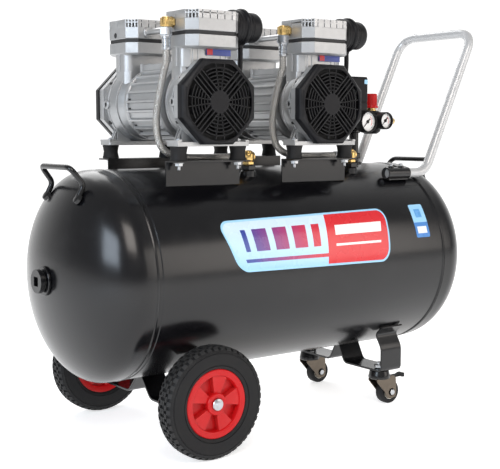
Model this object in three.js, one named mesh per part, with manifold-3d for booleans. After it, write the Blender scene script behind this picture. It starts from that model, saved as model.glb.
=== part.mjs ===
// Twin-head workshop air compressor: a dished tank on two large wheels and two swivel casters,
// with two oil-free pump units on rails, a control group and a clamped tube handle.
// Millimetres, +Z up, X along the tank (large wheels at -X, handle at +X), front at -Y, floor at Z = 0.

import * as THREE from 'three';
import { mergeVertices } from 'three/addons/utils/BufferGeometryUtils.js';
import Module from 'manifold-3d';

const wasm = await Module();
wasm.setup();

// ---- Driving dimensions ----
const GAP = 0.3;                 // clearance between touching pieces

const TANK_R = 192;              // outer radius
const TANK_CLEARANCE = 115.2;    // floor to the tank's lowest line
const TANK_Z = TANK_R + TANK_CLEARANCE;
const TANK_TOP = TANK_Z + TANK_R;
const TANK_BOTTOM = TANK_Z - TANK_R;
const TANK_WALL = 3;
const TANK_SIDES = 36;
const BARREL_HALF = 346;         // half length of the rolled barrel
const HEAD_FLANGE = 17;          // straight flange of each dished head
const HEAD_DEPTH = 96;           // 2:1 dished depth
const PLUG_R = 21;               // inspection plug
const PLUG_BORE_R = 16;
const PLUG_KEY = 8;              // half width of its square recess
const VALVE_BOSS_R = 15;
const RISER_BOSS_R = 17;
const RISER_BOSS_H = 4;
const DRAIN_BOSS_R = 12;
const DRAIN_BOSS_H = 5;
const DRAIN_BORE_R = 5;
const BOSS_SIDES = 12;

const WHEEL_X = 99.7 - BARREL_HALF;
const WHEEL_R = 100;
const WHEEL_W = 42;
const WHEEL_SIDES = 24;
const WHEEL_Y = TANK_R + 9;      // mid plane of each large wheel
const RIM_R = 61;
const AXLE_R = 8;
const COLLAR_R = 14;             // shoulder and cap of each stub axle
const STRAP_T = 4;               // thickness of both bent straps
const WHEEL_STRAP_W = 50;
const WHEEL_STRAP_Z = WHEEL_R - 25;
const WHEEL_STRAP_TOP_Y = TANK_R - 51;
const STRAP_TO_WHEEL = 10;
const STRAP_CONTACT_Z = TANK_BOTTOM - GAP - STRAP_T / 2 - 0.2;

const CASTER_X = BARREL_HALF - 106; // swivel axis
const CASTER_Y = 113;
const CASTER_TRAIL = 23;
const CASTER_R = 25;
const CASTER_W = 20;
const CASTER_H = 73;             // floor to mounting face
const CASTER_STRAP_W = 56;
const CASTER_STRAP_X = CASTER_X + 10;
const CASTER_STRAP_Y = 136;
const STEM_R = 6;

const UNIT_SPACING = 260;
const UNIT_X0 = -194;            // first pump unit
const UNIT_XS = [UNIT_X0, UNIT_X0 + UNIT_SPACING];
const RAIL_TOP_Z = TANK_TOP + 16.3;
const MOUNT_H = 25;
const FOOT_Z = RAIL_TOP_Z + GAP + MOUNT_H;
const FOOT_T = 8;
const SHAFT_Z = FOOT_Z + FOOT_T + 69.7;
const COVER_W = 156;
const COVER_H = 149;
const COVER_Y = 159;             // outer face of each fan cover
const COVER_D = 18;
const COVER_WALL = 3;
const GRILLE_SLOTS = 8;
const GRILLE_IN_R = 20;
const GRILLE_OUT_R = 58;
const GRILLE_BAR = 5;
const CASE_FLANGE = 15;          // octagonal flange of a crankcase
const BELL_R = 74;
const MOTOR_R = 70;
const MOTOR_HALF = 61;
const STATOR_BORE_R = 37;
const SHAFT_R = 8;
const FAN_R = 54;
const BORE_R = 40;               // cylinder bore
const POT_Y = 102.7;             // cylinder axis
const HEAD_W = 112.8;
const HEAD_L = 95.5;
const HEAD_CHAMFER = 17.4;
const FLANGE_BOTTOM_Z = SHAFT_Z + 95.5;
const FLANGE_TOP_Z = FLANGE_BOTTOM_Z + 21;
const GASKET_T = 6;
const HEAD_TOP_Z = FLANGE_TOP_Z + 42;
const FIN_DEPTH = 15;
const FIN_SLOTS = 9;             // on each long side of a head
const FIN_MARGIN = 12;
const FIN_SPINE = 14;            // half width of the uncut middle
const FOOT_HALF_X = 77;
const MOUNT_R = 15.5;
const MOUNT_X = 63.5;
const MOUNT_Y = 121.5;
const RAIL_T = 3;
const RAIL_HALF_X = 80;
const RAIL_WEB_Y = 102;
const RAIL_FLANGE = 38;

const FILTER_R = 31;
const FILTER_LEN = 62;
const PORT_Z = HEAD_TOP_Z - 20;
const FITTING_Y = 95;            // pressure outlet on the front head
const FITTING_OUT = HEAD_W / 2 + 14.6; // distance of its drop from the unit's middle plane
const FITTING_R = 12;            // its nut
const FITTING_DROP = 48;         // port to the end of the ferrule
const HOSE_R = 6.5;
const TRANSFER_R = 6;            // tube between the two heads
const TRANSFER_X = 19;
const VALVE_X = 126.5;           // check valve, from the unit's middle plane
const VALVE_Y = 68.4;
const VALVE_SOCKET_Z = TANK_TOP - 6.2;

const TUBE_R = 10;               // handle tube
const SOCKET_WALL = 2.2;
const SOCKET_X = BARREL_HALF - 91;
const SOCKET_LEN = 62;
const HANDLE_Y = 108.4;
const HANDLE_FOOT_X = BARREL_HALF + 24;
const HANDLE_TOP_X = HANDLE_FOOT_X + 144;
const HANDLE_TOP_Z = TANK_TOP + 282.8;
const HANDLE_BEND = 44;
const HANDLE_IN = 8;             // open socket left beyond the tube's end

const LIFT_ROD_R = 5;
const LIFT_HALF_Y = 60;
const LIFT_FOOT_OUT = 79.1;      // foot of a lift handle, outwards from the seam
const LIFT_FOOT_RISE = 8.2;      // and above the head's surface

const PIPE_X = UNIT_X0 + UNIT_SPACING + 196; // riser of the control group
const CONTROL_Z = TANK_TOP + 90.8;
const SWITCH_X = PIPE_X - 8;
const SWITCH_W = 54;
const SWITCH_D = 50;
const SWITCH_BASE_Z = CONTROL_Z + 23;
const SWITCH_H = 69;
const REGULATOR_X = PIPE_X + 52;
const REGULATOR_R = 21;
const REGULATOR_H = 44;
const GAUGE_Y = 49;              // front face of both gauges
const TANK_GAUGE_R = 23;
const TANK_GAUGE_X = PIPE_X + 3;
const OUTLET_GAUGE_R = 18.5;
const COUPLER_LEN = 38;
const COUPLER_R = 6.5;
const DRAIN_X = WHEEL_X + 96.3;

// ---- Geometry helpers ----

/** Position-only, merged, without collapsed triangles, faces outwards. */
function closed(geometry) {
  const bare = geometry.index ? geometry.toNonIndexed() : geometry.clone();
  for (const name of Object.keys(bare.attributes)) {
    if (name !== 'position') bare.deleteAttribute(name);
  }
  const merged = mergeVertices(bare, 1e-3);
  const place = merged.attributes.position;
  const kept = [];
  let volume = 0;
  const a = new THREE.Vector3();
  const b = new THREE.Vector3();
  const c = new THREE.Vector3();
  for (let i = 0; i < merged.index.count; i += 3) {
    const [p, q, r] = [0, 1, 2].map((k) => merged.index.getX(i + k));
    if (p === q || q === r || r === p) continue;
    kept.push([p, q, r]);
    a.fromBufferAttribute(place, p);
    b.fromBufferAttribute(place, q);
    c.fromBufferAttribute(place, r);
    volume += a.dot(b.cross(c));
  }
  const faces = volume < 0 ? kept.map(([p, q, r]) => [p, r, q]) : kept;
  merged.setIndex(faces.flat());
  return merged;
}

function solidOf(geometry) {
  const mesh = closed(geometry);
  return new wasm.Manifold(new wasm.Mesh({
    numProp: 3,
    vertProperties: new Float32Array(mesh.attributes.position.array),
    triVerts: new Uint32Array(mesh.index.array),
  }));
}

function geometryOf(solid) {
  const mesh = solid.getMesh();
  const geometry = new THREE.BufferGeometry();
  geometry.setAttribute('position', new THREE.BufferAttribute(new Float32Array(mesh.vertProperties), 3));
  geometry.setIndex(new THREE.BufferAttribute(new Uint32Array(mesh.triVerts), 1));
  return geometry;
}

/** Joins pieces into one solid, then cuts the tools out of it. */
function built(pieces, tools = []) {
  let solid = solidOf(pieces[0]);
  for (const piece of pieces.slice(1)) solid = solid.add(solidOf(piece));
  for (const tool of tools) solid = solid.subtract(solidOf(tool));
  return geometryOf(solid);
}

/** A box between two corners. */
function block(x0, x1, y0, y1, z0, z1) {
  const geometry = new THREE.BoxGeometry(x1 - x0, y1 - y0, z1 - z0);
  return geometry.translate((x0 + x1) / 2, (y0 + y1) / 2, (z0 + z1) / 2);
}

/** Turns [radius, height] points about an axis; height runs along that axis. */
function turned(profile, axis, sides = 24, x = 0, y = 0, z = 0) {
  const geometry = new THREE.LatheGeometry(profile.map(([r, h]) => new THREE.Vector2(r, h)), sides);
  if (axis === 'x') geometry.rotateZ(-Math.PI / 2);
  if (axis === 'z') geometry.rotateX(Math.PI / 2);
  return geometry.translate(x, y, z);
}

/** A plain round bar between two heights along an axis. */
function bar(radius, from, to, axis, sides = 16, x = 0, y = 0, z = 0) {
  return turned([[0, from], [radius, from], [radius, to], [0, to]], axis, sides, x, y, z);
}

/** A closed tube ring between two heights along an axis. */
function ring(outer, inner, from, to, axis, sides = 24, x = 0, y = 0, z = 0) {
  const profile = [[inner, from], [outer, from], [outer, to], [inner, to], [inner, from]];
  return turned(profile, axis, sides, x, y, z);
}

function roundShape(radius, sides) {
  const shape = new THREE.Shape();
  for (let i = 0; i < sides; i += 1) {
    const turn = (i / sides) * 2 * Math.PI;
    if (i === 0) shape.moveTo(radius, 0);
    else shape.lineTo(radius * Math.cos(turn), radius * Math.sin(turn));
  }
  return shape;
}

/** A round rod along a curve. */
function rod(curve, radius, sides, steps) {
  const options = { steps, bevelEnabled: false, extrudePath: curve };
  return new THREE.ExtrudeGeometry(roundShape(radius, sides), options);
}

/** Straight runs joined by round corners of the given radius. */
function bentPath(points, radius) {
  const corners = points.map((p) => new THREE.Vector3(...p));
  const path = new THREE.CurvePath();
  let from = corners[0];
  for (let i = 1; i < corners.length - 1; i += 1) {
    const before = corners[i].clone().sub(corners[i - 1]).normalize();
    const after = corners[i + 1].clone().sub(corners[i]).normalize();
    const back = radius * Math.tan(before.angleTo(after) / 2);
    const start = corners[i].clone().addScaledVector(before, -back);
    const end = corners[i].clone().addScaledVector(after, back);
    path.add(new THREE.LineCurve3(from, start));
    path.add(new THREE.QuadraticBezierCurve3(start, corners[i], end));
    from = end;
  }
  path.add(new THREE.LineCurve3(from, corners.at(-1)));
  return path;
}

/** Extrudes an outline drawn in X and Z along Y between two places. */
function alongY(outline, y0, y1) {
  const shape = new THREE.Shape(outline.map(([x, z]) => new THREE.Vector2(x, z)));
  const geometry = new THREE.ExtrudeGeometry(shape, { depth: y1 - y0, bevelEnabled: false });
  return geometry.rotateX(Math.PI / 2).translate(0, y1, 0);
}

/** Extrudes an outline drawn in Y and Z along X between two places. */
function alongX(outline, x0, x1) {
  const shape = new THREE.Shape(outline.map(([y, z]) => new THREE.Vector2(y, z)));
  const geometry = new THREE.ExtrudeGeometry(shape, { depth: x1 - x0, bevelEnabled: false });
  return geometry.rotateX(Math.PI / 2).rotateZ(Math.PI / 2).translate(x0, 0, 0);
}

/** Extrudes an outline drawn in X and Y upwards between two heights. */
function upward(outline, z0, z1) {
  const shape = new THREE.Shape(outline.map(([x, y]) => new THREE.Vector2(x, y)));
  return new THREE.ExtrudeGeometry(shape, { depth: z1 - z0, bevelEnabled: false }).translate(0, 0, z0);
}

/** A rectangle with its four corners cut at 45 degrees. */
function octagon(width, height, cut, u = 0, v = 0) {
  const a = width / 2;
  const b = height / 2;
  const corners = [[a, cut - b], [a, b - cut], [a - cut, b], [cut - a, b],
    [-a, b - cut], [-a, cut - b], [cut - a, -b], [a - cut, -b]];
  return corners.map(([p, q]) => [p + u, q + v]);
}

/** The outline of a bent strap of even thickness along a centre line. */
function strapOutline(line, thickness) {
  const points = line.map(([y, z]) => new THREE.Vector2(y, z));
  const sides = [[], []];
  points.forEach((point, i) => {
    const before = i > 0 ? point.clone().sub(points[i - 1]).normalize() : null;
    const after = i < points.length - 1 ? points[i + 1].clone().sub(point).normalize() : null;
    const first = before || after;
    const second = after || before;
    const normal = new THREE.Vector2(-first.y - second.y, first.x + second.x).normalize();
    const reach = thickness / 2 / Math.max(0.3, normal.dot(new THREE.Vector2(-first.y, first.x)));
    sides[0].push([point.x + normal.x * reach, point.y + normal.y * reach]);
    sides[1].unshift([point.x - normal.x * reach, point.y - normal.y * reach]);
  });
  return [...sides[0], ...sides[1]];
}

/** Height of the barrel's top at a distance from the middle plane. */
const tankTopAt = (y) => TANK_Z + Math.sqrt(TANK_R ** 2 - y ** 2);

/** Height of a dished head's top, a distance out from the seam and y from the middle plane. */
function headTopAt(out, y) {
  const share = (out - GAP - HEAD_FLANGE) / HEAD_DEPTH;
  return TANK_Z + Math.sqrt(TANK_R ** 2 * (1 - share ** 2) - y ** 2);
}

/** Height of the underside of a circle around the tank's axis. */
const underTankAt = (radius, y) => TANK_Z - Math.sqrt(radius ** 2 - y ** 2);

// ---- Materials ----
const finish = (color, roughness, metalness) => ({ color, roughness, metalness });
const BLACK_PAINT = finish(0x15161a, 0.35, 0.1);
const CAST_ALUMINIUM = finish(0xb9bcbd, 0.55, 0.7);
const BLACK_PLASTIC = finish(0x1c1d20, 0.6, 0);
const RUBBER = finish(0x161616, 0.85, 0);
const RED_PLASTIC = finish(0xc21f22, 0.4, 0);
const SILVER_PAINT = finish(0xd9dbdc, 0.3, 0.2);
const BRASS = finish(0xc79a45, 0.35, 0.9);
const STEEL = finish(0xa9adb0, 0.35, 0.9);
const WHITE_ENAMEL = finish(0xf0f1ee, 0.4, 0);

const compressor = new THREE.Group();

function add(name, geometry, look, place = [0, 0, 0], turnZ = 0) {
  const material = new THREE.MeshStandardMaterial(look);
  const mesh = new THREE.Mesh(closed(geometry), material);
  mesh.name = name;
  mesh.position.set(...place);
  mesh.rotation.z = turnZ;
  compressor.add(mesh);
}

// ---- Tank ----

/** Points of a 2:1 dished head from its pole side to its seam, radius first. */
function dishProfile(radius, depth, flange, seam, fromR, count) {
  const points = [];
  const start = Math.asin(fromR / radius);
  for (let i = 0; i <= count; i += 1) {
    const turn = start + (i / count) * (Math.PI / 2 - start);
    points.push([radius * Math.sin(turn), seam + flange + depth * Math.cos(turn)]);
  }
  points.push([radius, seam]);
  return points;
}

function dishedHead(holeR) {
  const seam = BARREL_HALF + GAP;
  const outside = dishProfile(TANK_R, HEAD_DEPTH, HEAD_FLANGE, seam, holeR, 6);
  const inside = dishProfile(TANK_R - TANK_WALL, HEAD_DEPTH - 4 * TANK_WALL, HEAD_FLANGE, seam, holeR, 4);
  const profile = [...outside, ...inside.reverse()];
  if (holeR > 0) profile.push(outside[0]);
  return turned(profile, 'x', TANK_SIDES);
}

function tank() {
  const shell = ring(TANK_R, TANK_R - TANK_WALL, -BARREL_HALF, BARREL_HALF, 'x', TANK_SIDES, 0, 0, TANK_Z);
  const boss = (radius, from, to, x, y = 0) => bar(radius, from, to, 'z', BOSS_SIDES, x, y, 0);
  const sockets = UNIT_XS.map((x) => (
    boss(VALVE_BOSS_R, VALVE_SOCKET_Z - 16, VALVE_SOCKET_Z, x + VALVE_X, -VALVE_Y)));
  const riser = boss(RISER_BOSS_R, TANK_TOP - TANK_WALL, TANK_TOP + RISER_BOSS_H, PIPE_X);
  const drain = boss(DRAIN_BOSS_R, TANK_BOTTOM - DRAIN_BOSS_H, TANK_BOTTOM + 2, DRAIN_X);
  const drainHole = boss(DRAIN_BORE_R, TANK_BOTTOM - 9, TANK_BOTTOM + 9, DRAIN_X);
  add('tank_barrel', built([shell, ...sockets, riser, drain], [drainHole]), BLACK_PAINT);
  add('tank_head_left', dishedHead(PLUG_BORE_R).rotateZ(Math.PI).translate(0, 0, TANK_Z), BLACK_PAINT);
  add('tank_head_right', dishedHead(0).translate(0, 0, TANK_Z), BLACK_PAINT);

  const pole = -(BARREL_HALF + HEAD_FLANGE + HEAD_DEPTH);
  const threadR = PLUG_BORE_R - GAP;
  const plugProfile = [
    [0, -17], [PLUG_R, -17], [PLUG_R, -9], [PLUG_R - 3, -9], [PLUG_R - 3, -5],
    [PLUG_R + 4, -5], [PLUG_R + 4, -GAP], [threadR, -GAP], [threadR, 12], [0, 12],
  ];
  const plug = turned(plugProfile, 'x', 20, pole, 0, TANK_Z);
  const keyHole = block(pole - 30, pole - 8, -PLUG_KEY, PLUG_KEY, TANK_Z - PLUG_KEY, TANK_Z + PLUG_KEY);
  add('inspection_plug', built([plug], [keyHole]), BLACK_PAINT);

  const drainTop = TANK_BOTTOM - DRAIN_BOSS_H;
  const tap = bar(9, drainTop - 12, drainTop - GAP, 'z', BOSS_SIDES);
  const stem = bar(DRAIN_BORE_R - GAP, drainTop - 8, drainTop + 7, 'z', BOSS_SIDES);
  const wing = block(-14, 14, -2, 2, drainTop - 24, drainTop - 11);
  add('drain_tap', built([tap, stem, wing]), BRASS, [DRAIN_X, 0, 0]);

  for (const [name, side] of [['left', -1], ['right', 1]]) {
    const foot = [-BARREL_HALF - LIFT_FOOT_OUT, headTopAt(LIFT_FOOT_OUT, LIFT_HALF_Y) + LIFT_FOOT_RISE];
    const knee = [foot[0] + 14, foot[1] + 25.8];
    const top = [foot[0] - 10.1, foot[1] + 56.5];
    const topY = LIFT_HALF_Y - 4;
    const half = [
      [foot[0], -LIFT_HALF_Y, foot[1]],
      [knee[0], -LIFT_HALF_Y, knee[1]],
      [top[0], -topY, top[1]],
    ];
    const route = [...half, ...half.map(([x, y, z]) => [x, -y, z]).reverse()];
    const loop = rod(bentPath(route, 15), LIFT_ROD_R, 6, 26);
    if (side > 0) loop.rotateZ(Math.PI);
    add(`lift_handle_${name}`, loop, BLACK_PAINT);
  }
}

// ---- Wheels and straps ----

function wheels() {
  const plateY = WHEEL_Y - WHEEL_W / 2 - STRAP_TO_WHEEL - STRAP_T / 2;
  const low = WHEEL_STRAP_Z;
  const topY = WHEEL_STRAP_TOP_Y;
  const topZ = underTankAt(TANK_R + STRAP_T + 2, topY);
  const half = [[6, STRAP_CONTACT_Z], [40, low], [plateY, low], [plateY, low + 57], [topY, topZ]];
  const line = [...half.map(([y, z]) => [-y, z]).reverse(), ...half];
  const x0 = WHEEL_X - WHEEL_STRAP_W / 2;
  const pieces = [alongX(strapOutline(line, STRAP_T), x0, x0 + WHEEL_STRAP_W)];
  const hubOut = WHEEL_Y + WHEEL_W / 2;
  for (const side of [-1, 1]) {
    const hubIn = hubOut - WHEEL_W - 2 * GAP;
    const axle = [
      [0, plateY], [COLLAR_R, plateY], [COLLAR_R, hubIn], [AXLE_R, hubIn],
      [AXLE_R, hubOut + 2 * GAP], [COLLAR_R, hubOut + 2 * GAP], [COLLAR_R - 2, hubOut + 5], [0, hubOut + 5],
    ];
    pieces.push(turned(axle.map(([r, h]) => [r, side * h]), 'y', 12, WHEEL_X, 0, WHEEL_R));
  }
  add('wheel_bracket', built(pieces), BLACK_PAINT);

  const w = WHEEL_W / 2;
  const tyre = [[RIM_R + GAP, -w + 3], [WHEEL_R - 22, -w], [WHEEL_R - 7, -w + 2], [WHEEL_R, -w + 9],
    [WHEEL_R, w - 9], [WHEEL_R - 7, w - 2], [WHEEL_R - 22, w], [RIM_R + GAP, w - 3], [RIM_R + GAP, -w + 3]];
  const rim = [[AXLE_R + GAP, -w], [18, -w], [20, -5], [50, -5], [53, -w + 4], [RIM_R, -w + 4],
    [RIM_R, w - 4], [53, w - 4], [50, 5], [20, 5], [18, w], [AXLE_R + GAP, w], [AXLE_R + GAP, -w]];
  for (const [name, side] of [['front', -1], ['rear', 1]]) {
    const centre = [WHEEL_X, side * WHEEL_Y, WHEEL_R];
    add(`wheel_tyre_${name}`, turned(tyre, 'y', WHEEL_SIDES), RUBBER, centre);
    add(`wheel_rim_${name}`, turned(rim, 'y', WHEEL_SIDES), RED_PLASTIC, centre);
  }
}

// ---- Casters ----

function casters() {
  const plateZ = CASTER_H + STRAP_T / 2;
  const topY = CASTER_STRAP_Y - 17;
  const topZ = underTankAt(TANK_R + STRAP_T, topY) - 1;
  const lipY = topY + 20;
  const lipZ = underTankAt(TANK_R + STRAP_T, lipY) - 1;
  const half = [[4, STRAP_CONTACT_Z], [24, plateZ], [CASTER_STRAP_Y, plateZ], [CASTER_STRAP_Y, plateZ + 49],
    [topY, topZ], [lipY, lipZ]];
  const line = [...half.map(([y, z]) => [-y, z]).reverse(), ...half];
  const x0 = CASTER_STRAP_X - CASTER_STRAP_W / 2;
  const strap = alongX(strapOutline(line, STRAP_T), x0, x0 + CASTER_STRAP_W);
  const holes = [-1, 1].map((side) => (
    bar(STEM_R + GAP, CASTER_H - 9, CASTER_H + 9, 'z', 16, CASTER_X, side * CASTER_Y, 0)));
  add('caster_bracket', built([strap], holes), BLACK_PAINT);

  const legIn = CASTER_W / 2 + 1.5;
  const legT = 2.5;
  const axleX = CASTER_TRAIL;
  const strapTop = CASTER_H + STRAP_T;
  const cup = turned([
    [0, 56], [21, 56], [23, 60], [20, CASTER_H - GAP], [STEM_R, CASTER_H - GAP],
    [STEM_R, strapTop + GAP], [10, strapTop + GAP], [10, strapTop + 8],
    [STEM_R, strapTop + 8], [STEM_R, strapTop + 13], [0, strapTop + 13],
  ], 'z', 12);
  const legOutline = [[-18, 58], [axleX - 8, CASTER_R - 6], [axleX + 8, CASTER_R - 6], [34, 58]];
  const legs = [-1, 1].map((side) => {
    const inner = side * legIn;
    return alongY(legOutline, Math.min(inner, inner + side * legT), Math.max(inner, inner + side * legT));
  });
  const bridge = block(-18, 20, -legIn - 1, legIn + 1, 54, 59);
  const axle = bar(4, -legIn - legT - 2, legIn + legT + 2, 'y', 8, axleX, 0, CASTER_R);
  const fork = built([cup, ...legs, bridge, axle]);
  const wheel = ring(CASTER_R, 4 + GAP, -CASTER_W / 2, CASTER_W / 2, 'y', 24);
  const pedalX = 29;
  const pedalZ = 54;
  const pin = bar(2.5, GAP - legIn, legIn - GAP, 'y', 12, pedalX, 0, pedalZ);
  const plate = block(pedalX - 2, 64, -8, 8, pedalZ - 1.5, pedalZ + 2);
  const toe = block(58, 66, -8, 8, pedalZ - 3, pedalZ + 5);
  const pedal = built([pin, plate, toe]);
  for (const [name, side] of [['front', -1], ['rear', 1]]) {
    const swivel = [CASTER_X, side * CASTER_Y, 0];
    add(`caster_fork_${name}`, fork, STEEL, swivel);
    add(`caster_wheel_${name}`, wheel, RUBBER, [CASTER_X + CASTER_TRAIL, side * CASTER_Y, CASTER_R]);
    add(`brake_pedal_${name}`, pedal, BLACK_PLASTIC, swivel);
  }
}

// ---- Tube handle ----

function handle() {
  const socketR = TUBE_R + GAP + SOCKET_WALL;
  const out = TANK_R + socketR + GAP;
  const z = TANK_Z + Math.sqrt(out ** 2 - HANDLE_Y ** 2);
  for (const [name, side] of [['front', -1], ['rear', 1]]) {
    const y = side * HANDLE_Y;
    const tube = ring(socketR, TUBE_R + GAP, SOCKET_X, SOCKET_X + SOCKET_LEN, 'x', 16, 0, y, z);
    const screws = [0.25, 0.7].map((share) => (
      bar(3.5, z + TUBE_R + 1, z + socketR + 9, 'z', 8, SOCKET_X + share * SOCKET_LEN, y, 0)));
    const bore = bar(TUBE_R + GAP, SOCKET_X - 1, SOCKET_X + SOCKET_LEN + 1, 'x', 16, 0, y, z);
    add(`handle_socket_${name}`, built([tube, ...screws], [bore]), BLACK_PAINT);
  }
  const start = SOCKET_X + HANDLE_IN;
  const half = [[start, z], [HANDLE_FOOT_X, z], [HANDLE_TOP_X, HANDLE_TOP_Z]];
  const route = [
    ...half.map(([x, height]) => [x, -HANDLE_Y, height]),
    ...half.map(([x, height]) => [x, HANDLE_Y, height]).reverse(),
  ];
  add('push_handle', rod(bentPath(route, HANDLE_BEND), TUBE_R, 8, 40), SILVER_PAINT);
}

// ---- Pump units ----

/** Middle line of a braided hose, from the end of its nut. */
const HOSE_POINTS = [
  [0, 0, 0], [0, 0, -10], [0, 1, -22], [-3, 4, -38], [-6, 10, -66],
  [-9, 16, -96], [-10, 19, -124], [-8, 18, -150], [-2, 14, -170], [14, 9, -183],
  [44, 8, -188], [90, 14, -189], [130, 23, -189], [152, 26.6, -189], [168, 26.6, -189],
];

/** The cast half of the pump that carries one cylinder; front one, centred on the unit. */
function crankcase() {
  const flangeY = COVER_Y - COVER_D - GAP;
  const outline = octagon(COVER_W - 4, COVER_H - 4, 44, 0, SHAFT_Z);
  const flange = alongY(outline, -flangeY, -flangeY + CASE_FLANGE);
  const bell = bar(BELL_R - 2, -flangeY + 2, -MOTOR_HALF - GAP, 'y', 16, 0, 0, SHAFT_Z);
  const neck = block(-54, 54, -125, -80, SHAFT_Z, FLANGE_BOTTOM_Z + 4);
  const deck = upward(octagon(HEAD_W, HEAD_L, HEAD_CHAMFER, 0, -POT_Y), FLANGE_BOTTOM_Z, FLANGE_TOP_Z);
  const foot = block(-FOOT_HALF_X, FOOT_HALF_X, -flangeY + 1, -MOUNT_Y + 20, FOOT_Z, FOOT_Z + FOOT_T);
  const gussets = [-1, 1].map((side) => {
    const web = [[30, 2], [60, 2], [44, 34], [30, 40]];
    return alongY(web.map(([x, rise]) => [side * x, FOOT_Z + rise]), -130, -106);
  });
  const mounts = [-1, 1].map((side) => turned([[0, 0], [MOUNT_R, 0], [MOUNT_R - 2, MOUNT_H / 2],
    [MOUNT_R, MOUNT_H + 1], [0, MOUNT_H + 1]], 'z', 10, side * MOUNT_X, -MOUNT_Y, RAIL_TOP_Z + GAP));
  const fanRoom = bar(FAN_R + 6, -flangeY - 2, -MOTOR_HALF - 14, 'y', 14, 0, 0, SHAFT_Z);
  const shaftHole = bar(SHAFT_R + 0.6, -90, -20, 'y', 10, 0, 0, SHAFT_Z);
  const bore = bar(BORE_R, SHAFT_Z, FLANGE_TOP_Z + 2, 'z', 12, 0, -POT_Y, 0);
  return built([flange, bell, neck, deck, foot, ...gussets, ...mounts], [fanRoom, shaftHole, bore]);
}

/** Cylinder head with its sealing lip; front one. */
function cylinderHead(transferTube) {
  const z = FLANGE_TOP_Z + GAP;
  const lip = upward(octagon(HEAD_W - 3, HEAD_L - 3, HEAD_CHAMFER, 0, -POT_Y), z, z + GASKET_T + 1);
  const body = upward(octagon(HEAD_W, HEAD_L, HEAD_CHAMFER, 0, -POT_Y), z + GASKET_T, HEAD_TOP_Z);
  const pitch = (HEAD_W - 2 * FIN_MARGIN) / FIN_SLOTS;
  const slotLow = HEAD_TOP_Z - FIN_DEPTH;
  const slots = [];
  for (let i = 0; i < FIN_SLOTS; i += 1) {
    const x = -HEAD_W / 2 + FIN_MARGIN + (i + 0.5) * pitch;
    const x0 = x - pitch / 4;
    const x1 = x + pitch / 4;
    slots.push(block(x0, x1, -POT_Y - HEAD_L, -POT_Y - FIN_SPINE, slotLow, HEAD_TOP_Z + 5));
    slots.push(block(x0, x1, -POT_Y + FIN_SPINE, -POT_Y + HEAD_L, slotLow, HEAD_TOP_Z + 5));
  }
  const pieces = [lip, body];
  if (transferTube) {
    const face = POT_Y - HEAD_L / 2;
    pieces.push(bar(TRANSFER_R, -face - 1, face - GAP, 'y', 12, TRANSFER_X, 0, PORT_Z - 4));
  }
  return built(pieces, slots);
}

/** Octagonal fan cover with a slotted grille; front one. */
function fanCover() {
  const outline = octagon(COVER_W, COVER_H, 46, 0, SHAFT_Z);
  const inner = octagon(COVER_W - 2 * COVER_WALL, COVER_H - 2 * COVER_WALL, 45, 0, SHAFT_Z);
  const shell = alongY(outline, -COVER_Y, -COVER_Y + COVER_D);
  const room = alongY(inner, -COVER_Y + 4, -COVER_Y + COVER_D + 1);
  const slots = [];
  for (let i = 0; i < GRILLE_SLOTS; i += 1) {
    const margin = GRILLE_BAR / GRILLE_IN_R;
    const start = (i / GRILLE_SLOTS) * 2 * Math.PI + margin / 2;
    const turns = [0, 0.5, 1].map((share) => start + share * ((2 * Math.PI) / GRILLE_SLOTS - margin));
    const arc = (radius) => (
      turns.map((turn) => [radius * Math.cos(turn), SHAFT_Z + radius * Math.sin(turn)]));
    slots.push(alongY([...arc(GRILLE_OUT_R), ...arc(GRILLE_IN_R).reverse()], -COVER_Y - 1, -COVER_Y + 6));
  }
  return built([shell], [room, ...slots]);
}

/** Motor shaft with its rotor core and a fan at each end. */
function rotor() {
  const end = COVER_Y - 8;
  const shaft = bar(SHAFT_R, -end, end, 'y', 10);
  const core = bar(STATOR_BORE_R - 2, -40, 40, 'y', 12);
  const pieces = [shaft, core];
  for (const side of [-1, 1]) {
    const fanY = side * (COVER_Y - COVER_D - 12);
    pieces.push(bar(16, fanY - 8, fanY + 8, 'y', 8));
    const blades = 6;
    for (let i = 0; i < blades; i += 1) {
      const blade = block(12, FAN_R, -1, 1, -8, 8).rotateX(0.6 + Math.PI / 2);
      pieces.push(blade.rotateY((i / blades) * 2 * Math.PI).translate(0, fanY, 0));
    }
  }
  return built(pieces);
}

function motorHousing() {
  const ribs = 16;
  const outline = [];
  for (let i = 0; i < ribs; i += 1) {
    for (const [share, r] of [[0, MOTOR_R - 4], [0.6, MOTOR_R - 4], [0.7, MOTOR_R], [0.9, MOTOR_R]]) {
      const turn = ((i + share) / ribs) * 2 * Math.PI;
      outline.push([r * Math.cos(turn), SHAFT_Z + r * Math.sin(turn)]);
    }
  }
  const body = alongY(outline, -MOTOR_HALF, MOTOR_HALF);
  const crown = SHAFT_Z + MOTOR_R;
  const bossPlate = block(-30, 30, -MOTOR_HALF + 4, MOTOR_HALF - 4, crown - 12, crown + 5);
  const bore = bar(STATOR_BORE_R, -MOTOR_HALF - 1, MOTOR_HALF + 1, 'y', 16, 0, 0, SHAFT_Z);
  return built([body, bossPlate], [bore]);
}

/** L-section rail under one pair of rubber mounts; front one. */
function rail() {
  const bottom = tankTopAt(RAIL_WEB_Y) + GAP;
  const edge = -RAIL_WEB_Y - RAIL_FLANGE;
  const webOut = -RAIL_WEB_Y - RAIL_T;
  const under = RAIL_TOP_Z - RAIL_T;
  const outline = [
    [-RAIL_WEB_Y, bottom], [-RAIL_WEB_Y, RAIL_TOP_Z], [edge, RAIL_TOP_Z],
    [edge, under], [webOut, under], [webOut, bottom],
  ];
  return alongX(outline, -RAIL_HALF_X, RAIL_HALF_X);
}

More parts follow.
